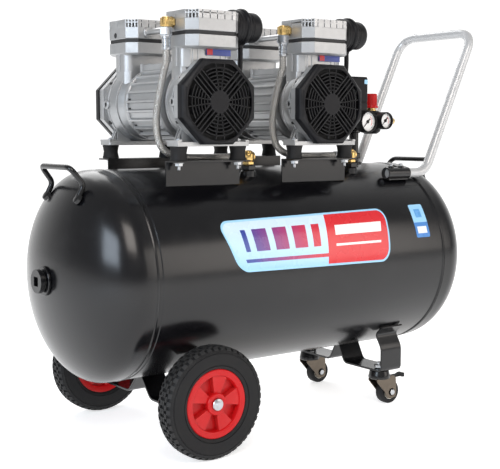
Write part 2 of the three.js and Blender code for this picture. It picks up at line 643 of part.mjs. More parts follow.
function pumpUnit(tag, x) {
  const half = Math.PI;
  for (const [name, turn] of [['front', 0], ['rear', half]]) {
    add(`crankcase_${name}_${tag}`, crankcase(), CAST_ALUMINIUM, [x, 0, 0], turn);
    add(`cylinder_head_${name}_${tag}`, cylinderHead(turn > 0), CAST_ALUMINIUM, [x, 0, 0], turn);
    add(`fan_cover_${name}_${tag}`, fanCover(), BLACK_PLASTIC, [x, 0, 0], turn);
    add(`mount_rail_${name}_${tag}`, rail(), BLACK_PAINT, [x, 0, 0], turn);
  }
  add(`motor_housing_${tag}`, motorHousing(), CAST_ALUMINIUM, [x, 0, 0]);
  add(`motor_rotor_${tag}`, rotor(), STEEL, [x, 0, SHAFT_Z]);

  const face = HEAD_W / 2 + GAP;
  const clampR = FILTER_R + 2.5;
  const canR = FILTER_R - 3.5;
  const filter = turned([
    [0, 0], [FILTER_R - 1, 0], [FILTER_R, 4], [FILTER_R, 22], [clampR, 24], [clampR, 29],
    [canR, 31], [canR, FILTER_LEN - 4], [canR - 3.5, FILTER_LEN], [0, FILTER_LEN],
  ], 'x', 16, face, -POT_Y, HEAD_TOP_Z - 21);
  add(`intake_filter_${tag}`, filter, BLACK_PLASTIC, [x, 0, 0]);

  const spigot = bar(9, -FITTING_OUT - 5, -face, 'x', 12, 0, -FITTING_Y, PORT_Z);
  const drop = turned([
    [0, -FITTING_DROP], [HOSE_R + 0.5, -FITTING_DROP], [HOSE_R + 1.5, -24],
    [FITTING_R, -22], [FITTING_R, -6], [8, -4], [9, 10], [0, 10],
  ], 'z', 12, -FITTING_OUT, -FITTING_Y, PORT_Z);
  add(`outlet_elbow_${tag}`, built([spigot, drop]), BRASS, [x, 0, 0]);

  const top = new THREE.Vector3(x - FITTING_OUT, -FITTING_Y, PORT_Z - FITTING_DROP - GAP);
  const route = new THREE.CatmullRomCurve3(HOSE_POINTS.map((p) => new THREE.Vector3(...p).add(top)));
  add(`braided_hose_${tag}`, rod(route, HOSE_R, 6, 34), STEEL);

  const valveAt = [x + VALVE_X, -VALVE_Y, VALVE_SOCKET_Z + GAP];
  const portZ = top.z + HOSE_POINTS.at(-1)[2] - valveAt[2];
  const body = turned([
    [0, 0], [13, 0], [13, 10], [9, 12], [9, portZ - 8],
    [12, portZ - 7], [12, portZ + 7], [8, portZ + 12], [0, portZ + 12],
  ], 'z', 12);
  const hoseEnd = x - FITTING_OUT + HOSE_POINTS.at(-1)[0];
  const port = bar(8, hoseEnd + GAP - valveAt[0], 0, 'x', 12, 0, 0, portZ);
  add(`check_valve_${tag}`, built([body, port]), BRASS, valveAt);
}

// ---- Controls ----

function controls() {
  const pipeZ = TANK_TOP + 4 + GAP;
  const pipe = bar(10, pipeZ, CONTROL_Z - 10, 'z', 16, PIPE_X, 0, 0);
  const manifold = block(PIPE_X - 22, PIPE_X + 22, -18, 18, CONTROL_Z - 15, SWITCH_BASE_Z);
  const outline = octagon(SWITCH_W, SWITCH_D, 6, SWITCH_X, 0);
  const housing = upward(outline, SWITCH_BASE_Z - 1, SWITCH_BASE_Z + SWITCH_H);
  const reliefX = PIPE_X - 8;
  const reliefZ = CONTROL_Z + 4;
  const relief = bar(7, 18, 34, 'y', 12, reliefX, 0, reliefZ);
  const reliefBore = bar(3 + GAP, 30, 36, 'y', 12, reliefX, 0, reliefZ);
  const gland = bar(9, SWITCH_D / 2 - 1, SWITCH_D / 2 + 14, 'y', 12, SWITCH_X + 12, 0, SWITCH_BASE_Z + 16);
  add('pressure_switch', built([pipe, manifold, housing, relief, gland], [reliefBore]), BLACK_PLASTIC);

  const knobY = SWITCH_D / 2 + GAP;
  const dial = bar(13, 0, 8, 'y', 20);
  const grip = block(-4, 4, 7, 15, -12, 12);
  add('switch_knob', built([dial, grip]), RED_PLASTIC, [SWITCH_X - 4, knobY, SWITCH_BASE_Z + 44]);

  const stem = bar(3, 31, 39, 'y', 12, reliefX, 0, reliefZ);
  const pull = ring(8, 5.5, -1.25, 1.25, 'x', 16, reliefX, 45, reliefZ);
  add('relief_ring', built([stem, pull]), STEEL);

  const bodyLow = CONTROL_Z - REGULATOR_H / 2;
  const bodyTop = bodyLow + REGULATOR_H;
  const bowl = turned([
    [0, bodyLow - 6], [REGULATOR_R - 6, bodyLow - 6], [REGULATOR_R, bodyLow], [REGULATOR_R, bodyTop - 3],
    [REGULATOR_R - 4, bodyTop], [10, bodyTop], [10, bodyTop + 5], [0, bodyTop + 5],
  ], 'z', 16, REGULATOR_X, 0, 0);
  const inlet = bar(10, PIPE_X + 22 + GAP, REGULATOR_X, 'x', 16, 0, 0, CONTROL_Z);
  const outletX = REGULATOR_X + REGULATOR_R + 8;
  const couplerEnd = outletX + COUPLER_LEN;
  const outlet = turned([
    [0, REGULATOR_X], [9, REGULATOR_X], [9, outletX],
    [COUPLER_R, outletX], [COUPLER_R, couplerEnd], [0, couplerEnd],
  ], 'x', 20, 0, 0, CONTROL_Z);
  const airWay = bar(4, outletX + 6, couplerEnd + 1, 'x', 16, 0, 0, CONTROL_Z);
  add('regulator_body', built([bowl, inlet, outlet], [airWay]), BLACK_PLASTIC);

  const collarFrom = outletX + 9;
  const collar = ring(11, COUPLER_R + GAP, collarFrom, collarFrom + 20, 'x', 24, 0, 0, CONTROL_Z);
  add('coupler_collar', collar, STEEL);

  const knobBase = bodyTop + 5 + GAP;
  const cap = turned([[0, 0], [15.5, 0], [15.5, 5], [13, 6], [13, 28], [11, 31], [0, 31]], 'z', 24);
  add('regulator_knob', cap, RED_PLASTIC, [REGULATOR_X, 0, knobBase]);

  const gauges = [['tank', TANK_GAUGE_X, TANK_GAUGE_R, 18 + GAP, CONTROL_Z - 2.5],
    ['outlet', REGULATOR_X + 2, OUTLET_GAUGE_R, REGULATOR_R + GAP, CONTROL_Z]];
  for (const [name, gx, radius, back, gz] of gauges) {
    const caseBack = GAUGE_Y - 22;
    const face = GAUGE_Y - 7;
    const profile = [[0, -back], [6, -back], [6, -caseBack], [radius, -caseBack], [radius, -GAUGE_Y],
      [radius - 2, -GAUGE_Y], [radius - 2, -face], [2, -face], [2, -face - 4], [0, -face - 4]];
    add(`gauge_${name}`, turned(profile, 'y', 20, gx, 0, gz), WHITE_ENAMEL);
    const hub = ring(3.5, 2 + GAP, 0.5, 2, 'y', 12);
    const arm = block(2.5, radius - 6, 0.5, 1.7, -0.8, 0.8);
    const tail = block(-9, -2.5, 0.5, 1.7, -1.2, 1.2);
    const needle = built([hub, arm, tail]).rotateY((3 * Math.PI) / 4);
    add(`gauge_needle_${name}`, needle.translate(0, -2.6, 0), BLACK_PLASTIC, [gx, -face, gz]);
  }
}

tank();
wheels();
casters();
handle();
pumpUnit('left', UNIT_XS[0]);
pumpUnit('right', UNIT_XS[1]);
controls();

// The origin is the middle of the footprint, on the floor.
compressor.updateMatrixWorld(true);
const bounds = new THREE.Box3().setFromObject(compressor, true);
const middle = bounds.getCenter(new THREE.Vector3());
compressor.position.set(-middle.x, -middle.y, -bounds.min.z);

export default compressor;
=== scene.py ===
"""Looks of a twin-head workshop air compressor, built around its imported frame. Lengths in millimetres
are measured from the middle of the tank, on the floor; MM and the tank's box bring them into the frame."""
import math

import bmesh
import bpy
from mathutils import Matrix, Vector


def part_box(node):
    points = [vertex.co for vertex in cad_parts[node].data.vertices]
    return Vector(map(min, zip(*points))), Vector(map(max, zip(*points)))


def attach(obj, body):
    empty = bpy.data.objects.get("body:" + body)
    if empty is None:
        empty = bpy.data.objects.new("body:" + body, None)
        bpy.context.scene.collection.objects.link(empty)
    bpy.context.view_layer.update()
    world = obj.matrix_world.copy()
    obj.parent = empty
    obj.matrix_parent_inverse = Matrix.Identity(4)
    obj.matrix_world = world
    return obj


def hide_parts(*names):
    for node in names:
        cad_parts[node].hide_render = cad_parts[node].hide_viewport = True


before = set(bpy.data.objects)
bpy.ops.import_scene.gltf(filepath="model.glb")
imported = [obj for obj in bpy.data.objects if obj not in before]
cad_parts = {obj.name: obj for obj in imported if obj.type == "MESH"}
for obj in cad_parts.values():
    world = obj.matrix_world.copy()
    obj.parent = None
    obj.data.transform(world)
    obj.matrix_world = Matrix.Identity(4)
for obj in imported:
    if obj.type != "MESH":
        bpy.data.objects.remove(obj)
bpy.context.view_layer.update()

MM = 0.001


def middle(node):
    low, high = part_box(node)
    return (low + high) / 2


TANK_X = middle("tank_barrel").x
TANK_LOW, TANK_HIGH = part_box("tank_barrel")
TANK_R = TANK_HIGH.y / MM
TANK_Z = middle("tank_head_left").z / MM
SEAM = (TANK_HIGH.x - TANK_LOW.x) / 2 / MM
UNITS = {side: (middle(f"motor_rotor_{side}").x - TANK_X) / MM for side in ("left", "right")}
SHAFT_Z = middle("motor_rotor_left").z / MM


# ---- Camera, light and floor ----

def stage():
    camera_data = bpy.data.cameras.new("camera")
    camera_data.lens = 74.3
    camera = bpy.data.objects.new("camera", camera_data)
    bpy.context.scene.collection.objects.link(camera)
    camera.location = (TANK_X - 1.2377, -1.6475, 0.5659)
    camera.rotation_euler = (math.radians(90 - 5.67), 0, math.radians(-36.65))
    bpy.context.scene.camera = camera
    bpy.context.scene.view_settings.view_transform = "Standard"

    floor_mesh = bpy.data.meshes.new("floor")
    bm = bmesh.new()
    bmesh.ops.create_grid(bm, x_segments=1, y_segments=1, size=14)
    bm.to_mesh(floor_mesh)
    bm.free()
    floor = bpy.data.objects.new("floor", floor_mesh)
    bpy.context.scene.collection.objects.link(floor)
    paper = bpy.data.materials.new("floor_paper")
    paper.use_nodes = True
    shader = paper.node_tree.nodes["Principled BSDF"]
    shader.inputs["Base Color"].default_value = (0.93, 0.93, 0.93, 1)
    shader.inputs["Roughness"].default_value = 0.9
    shader.inputs["Emission Color"].default_value = (1, 1, 1, 1)
    shader.inputs["Emission Strength"].default_value = 0.62
    floor_mesh.materials.append(paper)

    # A white wall behind the machine, as the camera sees it, and a darker room in front of it.
    world = bpy.data.worlds.new("studio")
    bpy.context.scene.world = world
    world.use_nodes = True
    tree = world.node_tree
    background = tree.nodes["Background"]
    background.inputs["Color"].default_value = (1, 1, 1, 1)
    spot = tree.nodes.new("ShaderNodeTexCoord")
    toward = tree.nodes.new("ShaderNodeVectorMath")
    toward.operation = "DOT_PRODUCT"
    toward.inputs[1].default_value = (0.594, 0.798, -0.099)
    fade = tree.nodes.new("ShaderNodeMapRange")
    fade.inputs["From Min"].default_value = 0.1
    fade.inputs["From Max"].default_value = 0.8
    fade.inputs["To Min"].default_value = 0.34
    fade.inputs["To Max"].default_value = 1.15
    tree.links.new(spot.outputs["Generated"], toward.inputs[0])
    tree.links.new(toward.outputs["Value"], fade.inputs["Value"])
    tree.links.new(fade.outputs["Result"], background.inputs["Strength"])
    warm = (1.0, 0.93, 0.87)
    cool = (0.76, 0.87, 1.0)
    lamps = [("key", (-1.2, -2.4, 2.6), 1.6, 46, warm), ("side", (-3.2, -0.9, 1.6), 1.5, 56, cool),
        ("fill", (1.9, -2.6, 1.2), 1.6, 20, warm), ("back", (0.6, 2.6, 2.8), 2.0, 36, (1, 1, 1))]
    for name, place, size, power, tint in lamps:
        lamp_data = bpy.data.lights.new(name, "AREA")
        lamp_data.size = size
        lamp_data.energy = power
        lamp_data.color = tint
        lamp = bpy.data.objects.new(name, lamp_data)
        lamp.location = place
        aim = Vector((0, 0, 0.45)) - Vector(place)
        lamp.rotation_euler = aim.to_track_quat("-Z", "Y").to_euler()
        bpy.context.scene.collection.objects.link(lamp)


stage()


# ---- Shader maths ----

class Wire:
    """A shader socket that arithmetic can be written on."""

    def __init__(self, bench, socket):
        self.bench = bench
        self.socket = socket

    def step(self, operation, first, second=0.0):
        return self.bench.node("ShaderNodeMath", {"operation": operation}, {0: first, 1: second})

    def __add__(self, other):
        return self.step("ADD", self, other)

    def __sub__(self, other):
        return self.step("SUBTRACT", self, other)

    def __rsub__(self, other):
        return self.step("SUBTRACT", other, self)

    def __mul__(self, other):
        return self.step("MULTIPLY", self, other)

    def __truediv__(self, other):
        return self.step("DIVIDE", self, other)

    def __gt__(self, other):
        return self.step("GREATER_THAN", self, other)

    def __lt__(self, other):
        return self.step("LESS_THAN", self, other)

    def __abs__(self):
        return self.step("ABSOLUTE", self)

    def sine(self):
        return self.step("SINE", self)

    def modulo(self, other):
        return self.step("FLOORED_MODULO", self, other)

    def high(self, other):
        return self.step("MAXIMUM", self, other)

    def low(self, other):
        return self.step("MINIMUM", self, other)

    __radd__ = __add__
    __rmul__ = __mul__


class Bench:
    """One material: makes nodes and plugs them into its Principled shader."""

    def __init__(self, name, color, roughness, metallic=0.0, **steady):
        self.material = bpy.data.materials.new(name)
        self.material.use_nodes = True
        self.tree = self.material.node_tree
        self.shader = self.tree.nodes["Principled BSDF"]
        self.feed("Base Color", (*color, 1))
        self.feed("Roughness", roughness)
        self.feed("Metallic", metallic)
        for socket, value in steady.items():
            self.feed(socket.replace("_", " "), value)

    def plug(self, socket, value):
        if isinstance(value, Wire):
            self.tree.links.new(value.socket, socket)
        else:
            socket.default_value = value

    def node(self, kind, settings=None, values=None, out=0):
        made = self.tree.nodes.new(kind)
        for key, value in (settings or {}).items():
            setattr(made, key, value)
        for key, value in (values or {}).items():
            self.plug(made.inputs[key], value)
        return Wire(self, made.outputs[out])

    def feed(self, socket, value):
        self.plug(self.shader.inputs[socket], value)

    def place(self):
        return self.node("ShaderNodeTexCoord", out="Object")

    def axes(self, vector=None):
        parts = self.node("ShaderNodeSeparateXYZ", None, {0: vector or self.place()})
        outputs = parts.socket.node.outputs
        return [Wire(self, outputs[i]) for i in range(3)]

    def noise(self, scale, detail=2.0, roughness=0.5, vector=None):
        values = {"Vector": vector or self.place(), "Scale": scale, "Detail": detail, "Roughness": roughness}
        return self.node("ShaderNodeTexNoise", None, values)

    def band(self, value, low, high):
        """0 below low, 1 above high, straight between."""
        return self.node("ShaderNodeMapRange", None, {0: value, 1: low, 2: high})

    def blend(self, first, second, factor):
        first = first if isinstance(first, Wire) else (*first, 1)
        second = second if isinstance(second, Wire) else (*second, 1)
        return self.node("ShaderNodeMix", {"data_type": "RGBA"}, {0: factor, 6: first, 7: second}, 2)

    def bump(self, height, strength, distance=0.001):
        values = {"Height": height, "Strength": strength, "Distance": distance}
        self.feed("Normal", self.node("ShaderNodeBump", None, values))

    def worn(self, color, wear, amount=0.5):
        """Pale rubbing on outside edges, broken up by noise."""
        point = self.node("ShaderNodeNewGeometry", out="Pointiness")
        edge = self.band(point + self.noise(60, 4) * 0.06, 0.57, 0.66) * amount
        return self.blend(color, wear, edge)


def powder_coat():
    coat = Bench("black_powder_coat", (0.004, 0.004, 0.005), 0.3, Coat_Weight=0.12, Coat_Roughness=0.16,
        Specular_IOR_Level=0.42)
    haze = coat.noise(3.0, 3)
    dust = coat.band(coat.noise(14, 6, 0.65), 0.52, 0.8)
    coat.feed("Base Color", coat.worn(coat.blend((0.003, 0.003, 0.004), (0.009, 0.009, 0.010), dust),
        (0.03, 0.03, 0.03), 0.3))
    coat.feed("Roughness", haze * 0.1 + dust * 0.05 + 0.17)
    coat.bump(coat.noise(420, 2), 0.06, 0.0006)
    return coat.material


def cast_metal():
    cast = Bench("die_cast_aluminium", (0.6, 0.6, 0.6), 0.42, 0.72)
    cloud = cast.noise(9, 4)
    grain = cast.noise(900, 2)
    base = cast.blend((0.33, 0.335, 0.34), (0.47, 0.475, 0.48), cloud)
    stain = cast.band(cast.noise(38, 5, 0.7), 0.6, 0.85)
    cast.feed("Base Color", cast.worn(cast.blend(base, (0.24, 0.24, 0.235), stain * 0.5), (0.68, 0.68, 0.68),
        0.6))
    cast.feed("Roughness", cloud * 0.14 + grain * 0.12 + 0.27)
    cast.bump(grain, 0.16, 0.0006)
    return cast.material


def machined_metal():
    metal = Bench("machined_aluminium", (0.7, 0.7, 0.71), 0.3, 0.85)
    streak = metal.node("ShaderNodeMapping", None, {"Vector": metal.place(), "Scale": (1, 1, 30)})
    lines = metal.noise(60, 3, 0.6, streak)
    metal.feed("Base Color", metal.blend((0.42, 0.425, 0.43), (0.58, 0.585, 0.59), lines))
    metal.feed("Roughness", lines * 0.18 + 0.24)
    metal.bump(lines, 0.06, 0.0004)
    return metal.material


def moulded(name, dark, light, gloss, grain_scale=1100, wear=(0.06, 0.06, 0.06), shine=0.5):
    plastic = Bench(name, dark, gloss, Specular_IOR_Level=shine)
    patch = plastic.noise(22, 4)
    grain = plastic.noise(grain_scale, 2)
    plastic.feed("Base Color", plastic.worn(plastic.blend(dark, light, patch), wear, 0.35))
    plastic.feed("Roughness", patch * 0.14 + grain * 0.1 + (gloss - 0.1))
    plastic.bump(grain, 0.12, 0.0004)
    return plastic.material


def tyre_rubber():
    rubber = Bench("tyre_rubber", (0.008, 0.008, 0.009), 0.72, Specular_IOR_Level=0.28)
    dust = rubber.band(rubber.noise(30, 6, 0.7), 0.42, 0.8)
    rubber.feed("Base Color", rubber.worn(rubber.blend((0.007, 0.007, 0.008), (0.03, 0.029, 0.027),
        dust * 0.5), (0.05, 0.05, 0.05), 0.3))
    rubber.feed("Roughness", dust * 0.2 + 0.58)
    rubber.bump(rubber.noise(500, 3), 0.2, 0.0006)
    return rubber.material


def plated(name, dark, light, roughness):
    metal = Bench(name, dark, roughness, 1.0)
    cloud = metal.noise(45, 5, 0.6)
    metal.feed("Base Color", metal.worn(metal.blend(dark, light, cloud), light, 0.5))
    metal.feed("Roughness", cloud * 0.2 + roughness - 0.08)
    metal.bump(metal.noise(700, 2), 0.08, 0.0004)
    return metal.material


def silver_coat():
    coat = Bench("silver_white_coat", (0.78, 0.79, 0.8), 0.26, 0.15, Coat_Weight=0.4, Coat_Roughness=0.12)
    cloud = coat.noise(12, 4)
    coat.feed("Base Color", coat.blend((0.46, 0.465, 0.47), (0.55, 0.555, 0.56), cloud))
    coat.feed("Roughness", cloud * 0.12 + 0.2)
    coat.bump(coat.noise(380, 2), 0.05, 0.0005)
    return coat.material


def wire_braid():
    """Two sets of wires crossing around the hose, drawn on its own map: turns across, metres along."""
    braid = Bench("wire_braid", (0.6, 0.59, 0.56), 0.34, 0.9)
    across, along, _ = braid.axes(braid.node("ShaderNodeUVMap", {"uv_map": "wrap"}))
    turns = 7.0
    pitch = 160.0
    left = (across * (turns * 2 * math.pi) + along * (pitch * 2 * math.pi)).sine()
    right = (across * (turns * 2 * math.pi) - along * (pitch * 2 * math.pi)).sine()
    over = (left * right) > 0
    height = abs(left) * over + abs(right) * (1 - over)
    # Darker where each wire's surface falls away towards its neighbours: painted shade in the grooves between
    # the wires.
    braid.feed("Base Color", braid.blend((0.07, 0.065, 0.06), (0.52, 0.51, 0.49),
        braid.band(height, 0.25, 0.75)))
    braid.feed("Roughness", (1 - height) * 0.3 + 0.24)
    braid.bump(height, 0.7, 0.0008)
    return braid.material


BLACK_COAT = powder_coat()
CAST = cast_metal()
MACHINED = machined_metal()
BLACK_PLASTIC = moulded("black_moulding", (0.004, 0.004, 0.005), (0.008, 0.008, 0.010), 0.4, shine=0.2)
# Soft black moulding, also used for dark pieces that are painted shade in slots, holes and vents.
SOFT_BLACK = moulded("filter_moulding_and_painted_shade", (0.004, 0.004, 0.005), (0.008, 0.008, 0.010), 0.36, 300, shine=0.22)
RED_PLASTIC = moulded("red_moulding", (0.46, 0.004, 0.006), (0.58, 0.008, 0.010), 0.32, 900,
    (0.7, 0.1, 0.09), 0.3)
RUBBER = tyre_rubber()
ZINC = plated("zinc_plate", (0.40, 0.41, 0.43), (0.60, 0.62, 0.64), 0.28)
BRONZE_ZINC = plated("passivated_zinc", (0.10, 0.085, 0.07), (0.20, 0.165, 0.13), 0.36)
BRASS = plated("turned_brass", (0.62, 0.40, 0.13), (0.80, 0.58, 0.25), 0.27)
SILVER = silver_coat()
BRAID = wire_braid()
CREAM = moulded("cream_hub", (0.62, 0.58, 0.50), (0.72, 0.68, 0.6), 0.4, 900, (0.5, 0.46, 0.4))


# ---- Mesh tools ----


def to_frame(bm):
    """From millimetres about the middle of the tank to the frame's metres."""
    place = Matrix.Translation((TANK_X, 0, 0)) @ Matrix.Scale(MM, 4)
    bmesh.ops.transform(bm, matrix=place, verts=bm.verts)


def piece(name, bm, material, body="frame", bevel=0.0, smooth=True, normals=True, replaces=()):
    """Finishes a bmesh drawn in millimetres as a named piece that rides on a body."""
    bmesh.ops.remove_doubles(bm, verts=bm.verts, dist=0.002)
    if normals:
        bmesh.ops.recalc_face_normals(bm, faces=bm.faces)
    to_frame(bm)
    mesh = bpy.data.meshes.new(name)
    bm.to_mesh(mesh)
    bm.free()
    mesh.materials.append(material)
    if smooth:
        mesh.shade_smooth()
        mesh.set_sharp_from_angle(angle=math.radians(32))
    made = bpy.data.objects.new(name, mesh)
    bpy.context.scene.collection.objects.link(made)
    if bevel:
        rounding = made.modifiers.new("rounding", "BEVEL")
        rounding.width = bevel * MM
        rounding.segments = 2
        rounding.limit_method = "ANGLE"
        rounding.angle_limit = math.radians(35)
        rounding.harden_normals = True
    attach(made, body)
    if replaces:
        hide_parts(*replaces)
    return made


def joined(*parts):
    """One bmesh holding several."""
    whole = bmesh.new()
    for part in parts:
        mesh = bpy.data.meshes.new("part")
        part.to_mesh(mesh)
        part.free()
        whole.from_mesh(mesh)
        bpy.data.meshes.remove(mesh)
    return whole


AXIS_TURN = {"x": Matrix.Rotation(math.radians(90), 4, "Y"), "y": Matrix.Rotation(math.radians(-90), 4, "X"),
    "z": Matrix.Identity(4)}


# How a shape drawn flat and raised along z is stood up along each axis.
PLATE_TURN = {"z": Matrix.Identity(4), "y": Matrix(((1, 0, 0, 0), (0, 0, 1, 0), (0, 1, 0, 0), (0, 0, 0, 1))),
    "x": Matrix(((0, 0, 1, 0), (1, 0, 0, 0), (0, 1, 0, 0), (0, 0, 0, 1)))}


def moved(bm, matrix):
    bmesh.ops.transform(bm, matrix=matrix, verts=bm.verts)
    return bm


def at(x=0, y=0, z=0):
    return Matrix.Translation((x, y, z))


def turned(profile, axis="z", place=(0, 0, 0), sides=64):
    """Spins [radius, height] points about an axis; height runs along that axis."""
    bm = bmesh.new()
    ring = [bm.verts.new((r, 0, h)) for r, h in profile]
    edges = [bm.edges.new(pair) for pair in zip(ring, ring[1:])]
    if profile[0] != profile[-1] and profile[0][0] > 0 and profile[-1][0] > 0:
        edges.append(bm.edges.new((ring[-1], ring[0])))
    bmesh.ops.spin(bm, geom=ring + edges, axis=(0, 0, 1), cent=(0, 0, 0), steps=sides, angle=2 * math.pi,
        use_merge=True)
    bmesh.ops.remove_doubles(bm, verts=bm.verts, dist=0.001)
    return moved(bm, at(*place) @ AXIS_TURN[axis])


def rod(radius, low, high, axis="z", place=(0, 0, 0), sides=64):
    """A plain round bar."""
    return turned([(0, low), (radius, low), (radius, high), (0, high)], axis, place, sides)


def pipe(inside, outside, low, high, axis="z", place=(0, 0, 0), sides=64):
    """A plain tube."""
    profile = [(inside, low), (outside, low), (outside, high), (inside, high), (inside, low)]
    return turned(profile, axis, place, sides)


def rounded(profile, radius, steps=4):
    """The same profile with its inner corners rounded, never past half of a side."""
    points = [Vector(p) for p in profile]
    result = [tuple(points[0])]
    for before, corner, after in zip(points, points[1:], points[2:]):
        reach = min(radius, (corner - before).length / 2.1, (corner - after).length / 2.1)
        start = corner + (before - corner).normalized() * reach
        end = corner + (after - corner).normalized() * reach
        for k in range(steps + 1):
            t = k / steps
            result.append(tuple(start.lerp(corner, t).lerp(corner.lerp(end, t), t)))
    result.append(tuple(points[-1]))
    return result


def box(x0, x1, y0, y1, z0, z1):
    bm = bmesh.new()
    bmesh.ops.create_cube(bm, size=1)
    size = Matrix.Diagonal((x1 - x0, y1 - y0, z1 - z0, 1))
    return moved(bm, at((x0 + x1) / 2, (y0 + y1) / 2, (z0 + z1) / 2) @ size)


def plate(outline, low, high, axis="z", holes=()):
    """Extrudes a flat outline along an axis. The outline is drawn (x, y), (x, z) or (y, z)."""
    bm = bmesh.new()
    loops = []
    for points in [outline, *holes]:
        ring = [bm.verts.new((u, v, 0)) for u, v in points]
        loops += [bm.edges.new(pair) for pair in zip(ring, ring[1:] + ring[:1])]
    bmesh.ops.triangle_fill(bm, edges=loops, use_beauty=True)
    if not holes:
        bmesh.ops.dissolve_limit(bm, angle_limit=0.01, verts=bm.verts, edges=bm.edges)
    grown = bmesh.ops.extrude_face_region(bm, geom=bm.faces[:])
    top = [item for item in grown["geom"] if isinstance(item, bmesh.types.BMVert)]
    bmesh.ops.translate(bm, vec=(0, 0, high - low), verts=top)
    bmesh.ops.translate(bm, vec=(0, 0, low), verts=bm.verts)
    moved(bm, PLATE_TURN[axis])
    bmesh.ops.recalc_face_normals(bm, faces=bm.faces)
    return bm


def swept(points, radius, sides=20):
    """A round bar along a route, grown ring by ring, with a map of turns across and metres along."""
    route = [Vector(p) for p in points]
    bm = bmesh.new()
    wrap = bm.loops.layers.uv.new("wrap")
    facing = (route[1] - route[0]).normalized()
    frame_turn = facing.to_track_quat("Z", "Y").to_matrix().to_4x4()
    start = bmesh.ops.create_circle(bm, segments=sides, radius=radius)["verts"]
    moved(bm, Matrix.Translation(route[0]) @ frame_turn)
    ring = list(start)
    edges = [e for e in bm.edges]
    length = 0.0
    bmesh.ops.contextual_create(bm, geom=edges)
    for i in range(1, len(route)):
        ahead = route[min(i + 1, len(route) - 1)] - route[i - 1]
        turn = facing.rotation_difference(ahead.normalized())
        grown = bmesh.ops.extrude_edge_only(bm, edges=edges)["geom"]
        ring = [g for g in grown if isinstance(g, bmesh.types.BMVert)]
        edges = [g for g in grown if isinstance(g, bmesh.types.BMEdge) and all(v in ring for v in g.verts)]
        skin = [g for g in grown if isinstance(g, bmesh.types.BMFace)]
        place = Matrix.Translation(route[i]) @ turn.to_matrix().to_4x4() @ Matrix.Translation(-route[i - 1])
        bmesh.ops.transform(bm, matrix=place, verts=ring)
        step = (route[i] - route[i - 1]).length
        fresh = set(ring)
        for k, face in enumerate(skin):
            for corner in face.loops:
                turn_share = (k + (0 if corner.vert in (face.loops[0].vert,
                    face.loops[3].vert) else 1)) / sides
                corner[wrap].uv = (turn_share, (length + (step if corner.vert in fresh else 0)) * MM)
        length += step
        facing = ahead.normalized()
    bmesh.ops.contextual_create(bm, geom=edges)
    return bm


def smooth_route(points, count):
    """Evenly spread points on one smooth curve through the given ones."""
    p = [Vector(v) for v in points]
    p = [p[0] * 2 - p[1], *p, p[-1] * 2 - p[-2]]
    dense = []
    for a, b, c, d in zip(p, p[1:], p[2:], p[3:]):
        for k in range(24):
            t = k / 24
            dense.append(0.5 * ((2 * b) + (c - a) * t + (2 * a - 5 * b + 4 * c -
                d) * t * t + (3 * b - a - 3 * c + d) * t * t * t))
    dense.append(p[-2])
    marks = [0.0]
    for a, b in zip(dense, dense[1:]):
        marks.append(marks[-1] + (b - a).length)
    result = []
    k = 0
    for i in range(count + 1):
        want = marks[-1] * i / count
        while k < len(marks) - 2 and marks[k + 1] < want:
            k += 1
        share = (want - marks[k]) / max(1e-9, marks[k + 1] - marks[k])
        result.append(dense[k].lerp(dense[k + 1], min(1, share)))
    return result


def bent_route(points, radius, steps=10):
    """Straight runs joined by round corners."""
    corners = [Vector(p) for p in points]
    route = [corners[0]]
    for before, corner, after in zip(corners, corners[1:], corners[2:]):
        into = (corner - before).normalized()
        out = (after - corner).normalized()
        back = radius * math.tan(into.angle(out) / 2)
        start = corner - into * back
        end = corner + out * back
        for k in range(steps + 1):
            t = k / steps
            route.append(start.lerp(corner, t).lerp(corner.lerp(end, t), t))
    route.append(corners[-1])
    return route


def octagon(width, height, cut, u=0, v=0):
    a = width / 2
    b = height / 2
    corners = [(a, cut - b), (a, b - cut), (a - cut, b), (cut - a, b), (-a, b - cut), (-a, cut - b),
        (cut - a, -b), (a - cut, -b)]
    return [(p + u, q + v) for p, q in corners]


def hexagon(across, axis, place, low, high):
    r = across / 2 / math.cos(math.radians(30))
    chamfer = min(across * 0.07, (high - low) * 0.3)
    bm = turned([(0, low), (r - chamfer, low), (r, low + chamfer), (r, high - chamfer), (r - chamfer, high),
        (0, high)], axis, place, 6)
    return bm


def nut_and_bolt(place, axis="z", across=10, height=5, stud=3, reach=7, up=1):
    nut = hexagon(across, axis, place, min(0, up * height), max(0, up * height))
    washer = rod(across * 0.72, -0.6, 0.6, axis, place, 24)
    shank = turned([(0, 0), (stud, 0), (stud, up * reach - up), (stud - 0.7, up * reach), (0, up * reach)],
        axis, place, 16)
    return joined(nut, washer, shank)


# ---- Tank ----

def dish(radius, depth, seam, from_r, count=36):
    points = []
    start = math.asin(from_r / radius)
    for i in range(count + 1):
        turn = start + (math.pi / 2 - start) * i / count
        points.append((radius * math.sin(turn), seam + 17 + depth * math.cos(turn)))
    return points


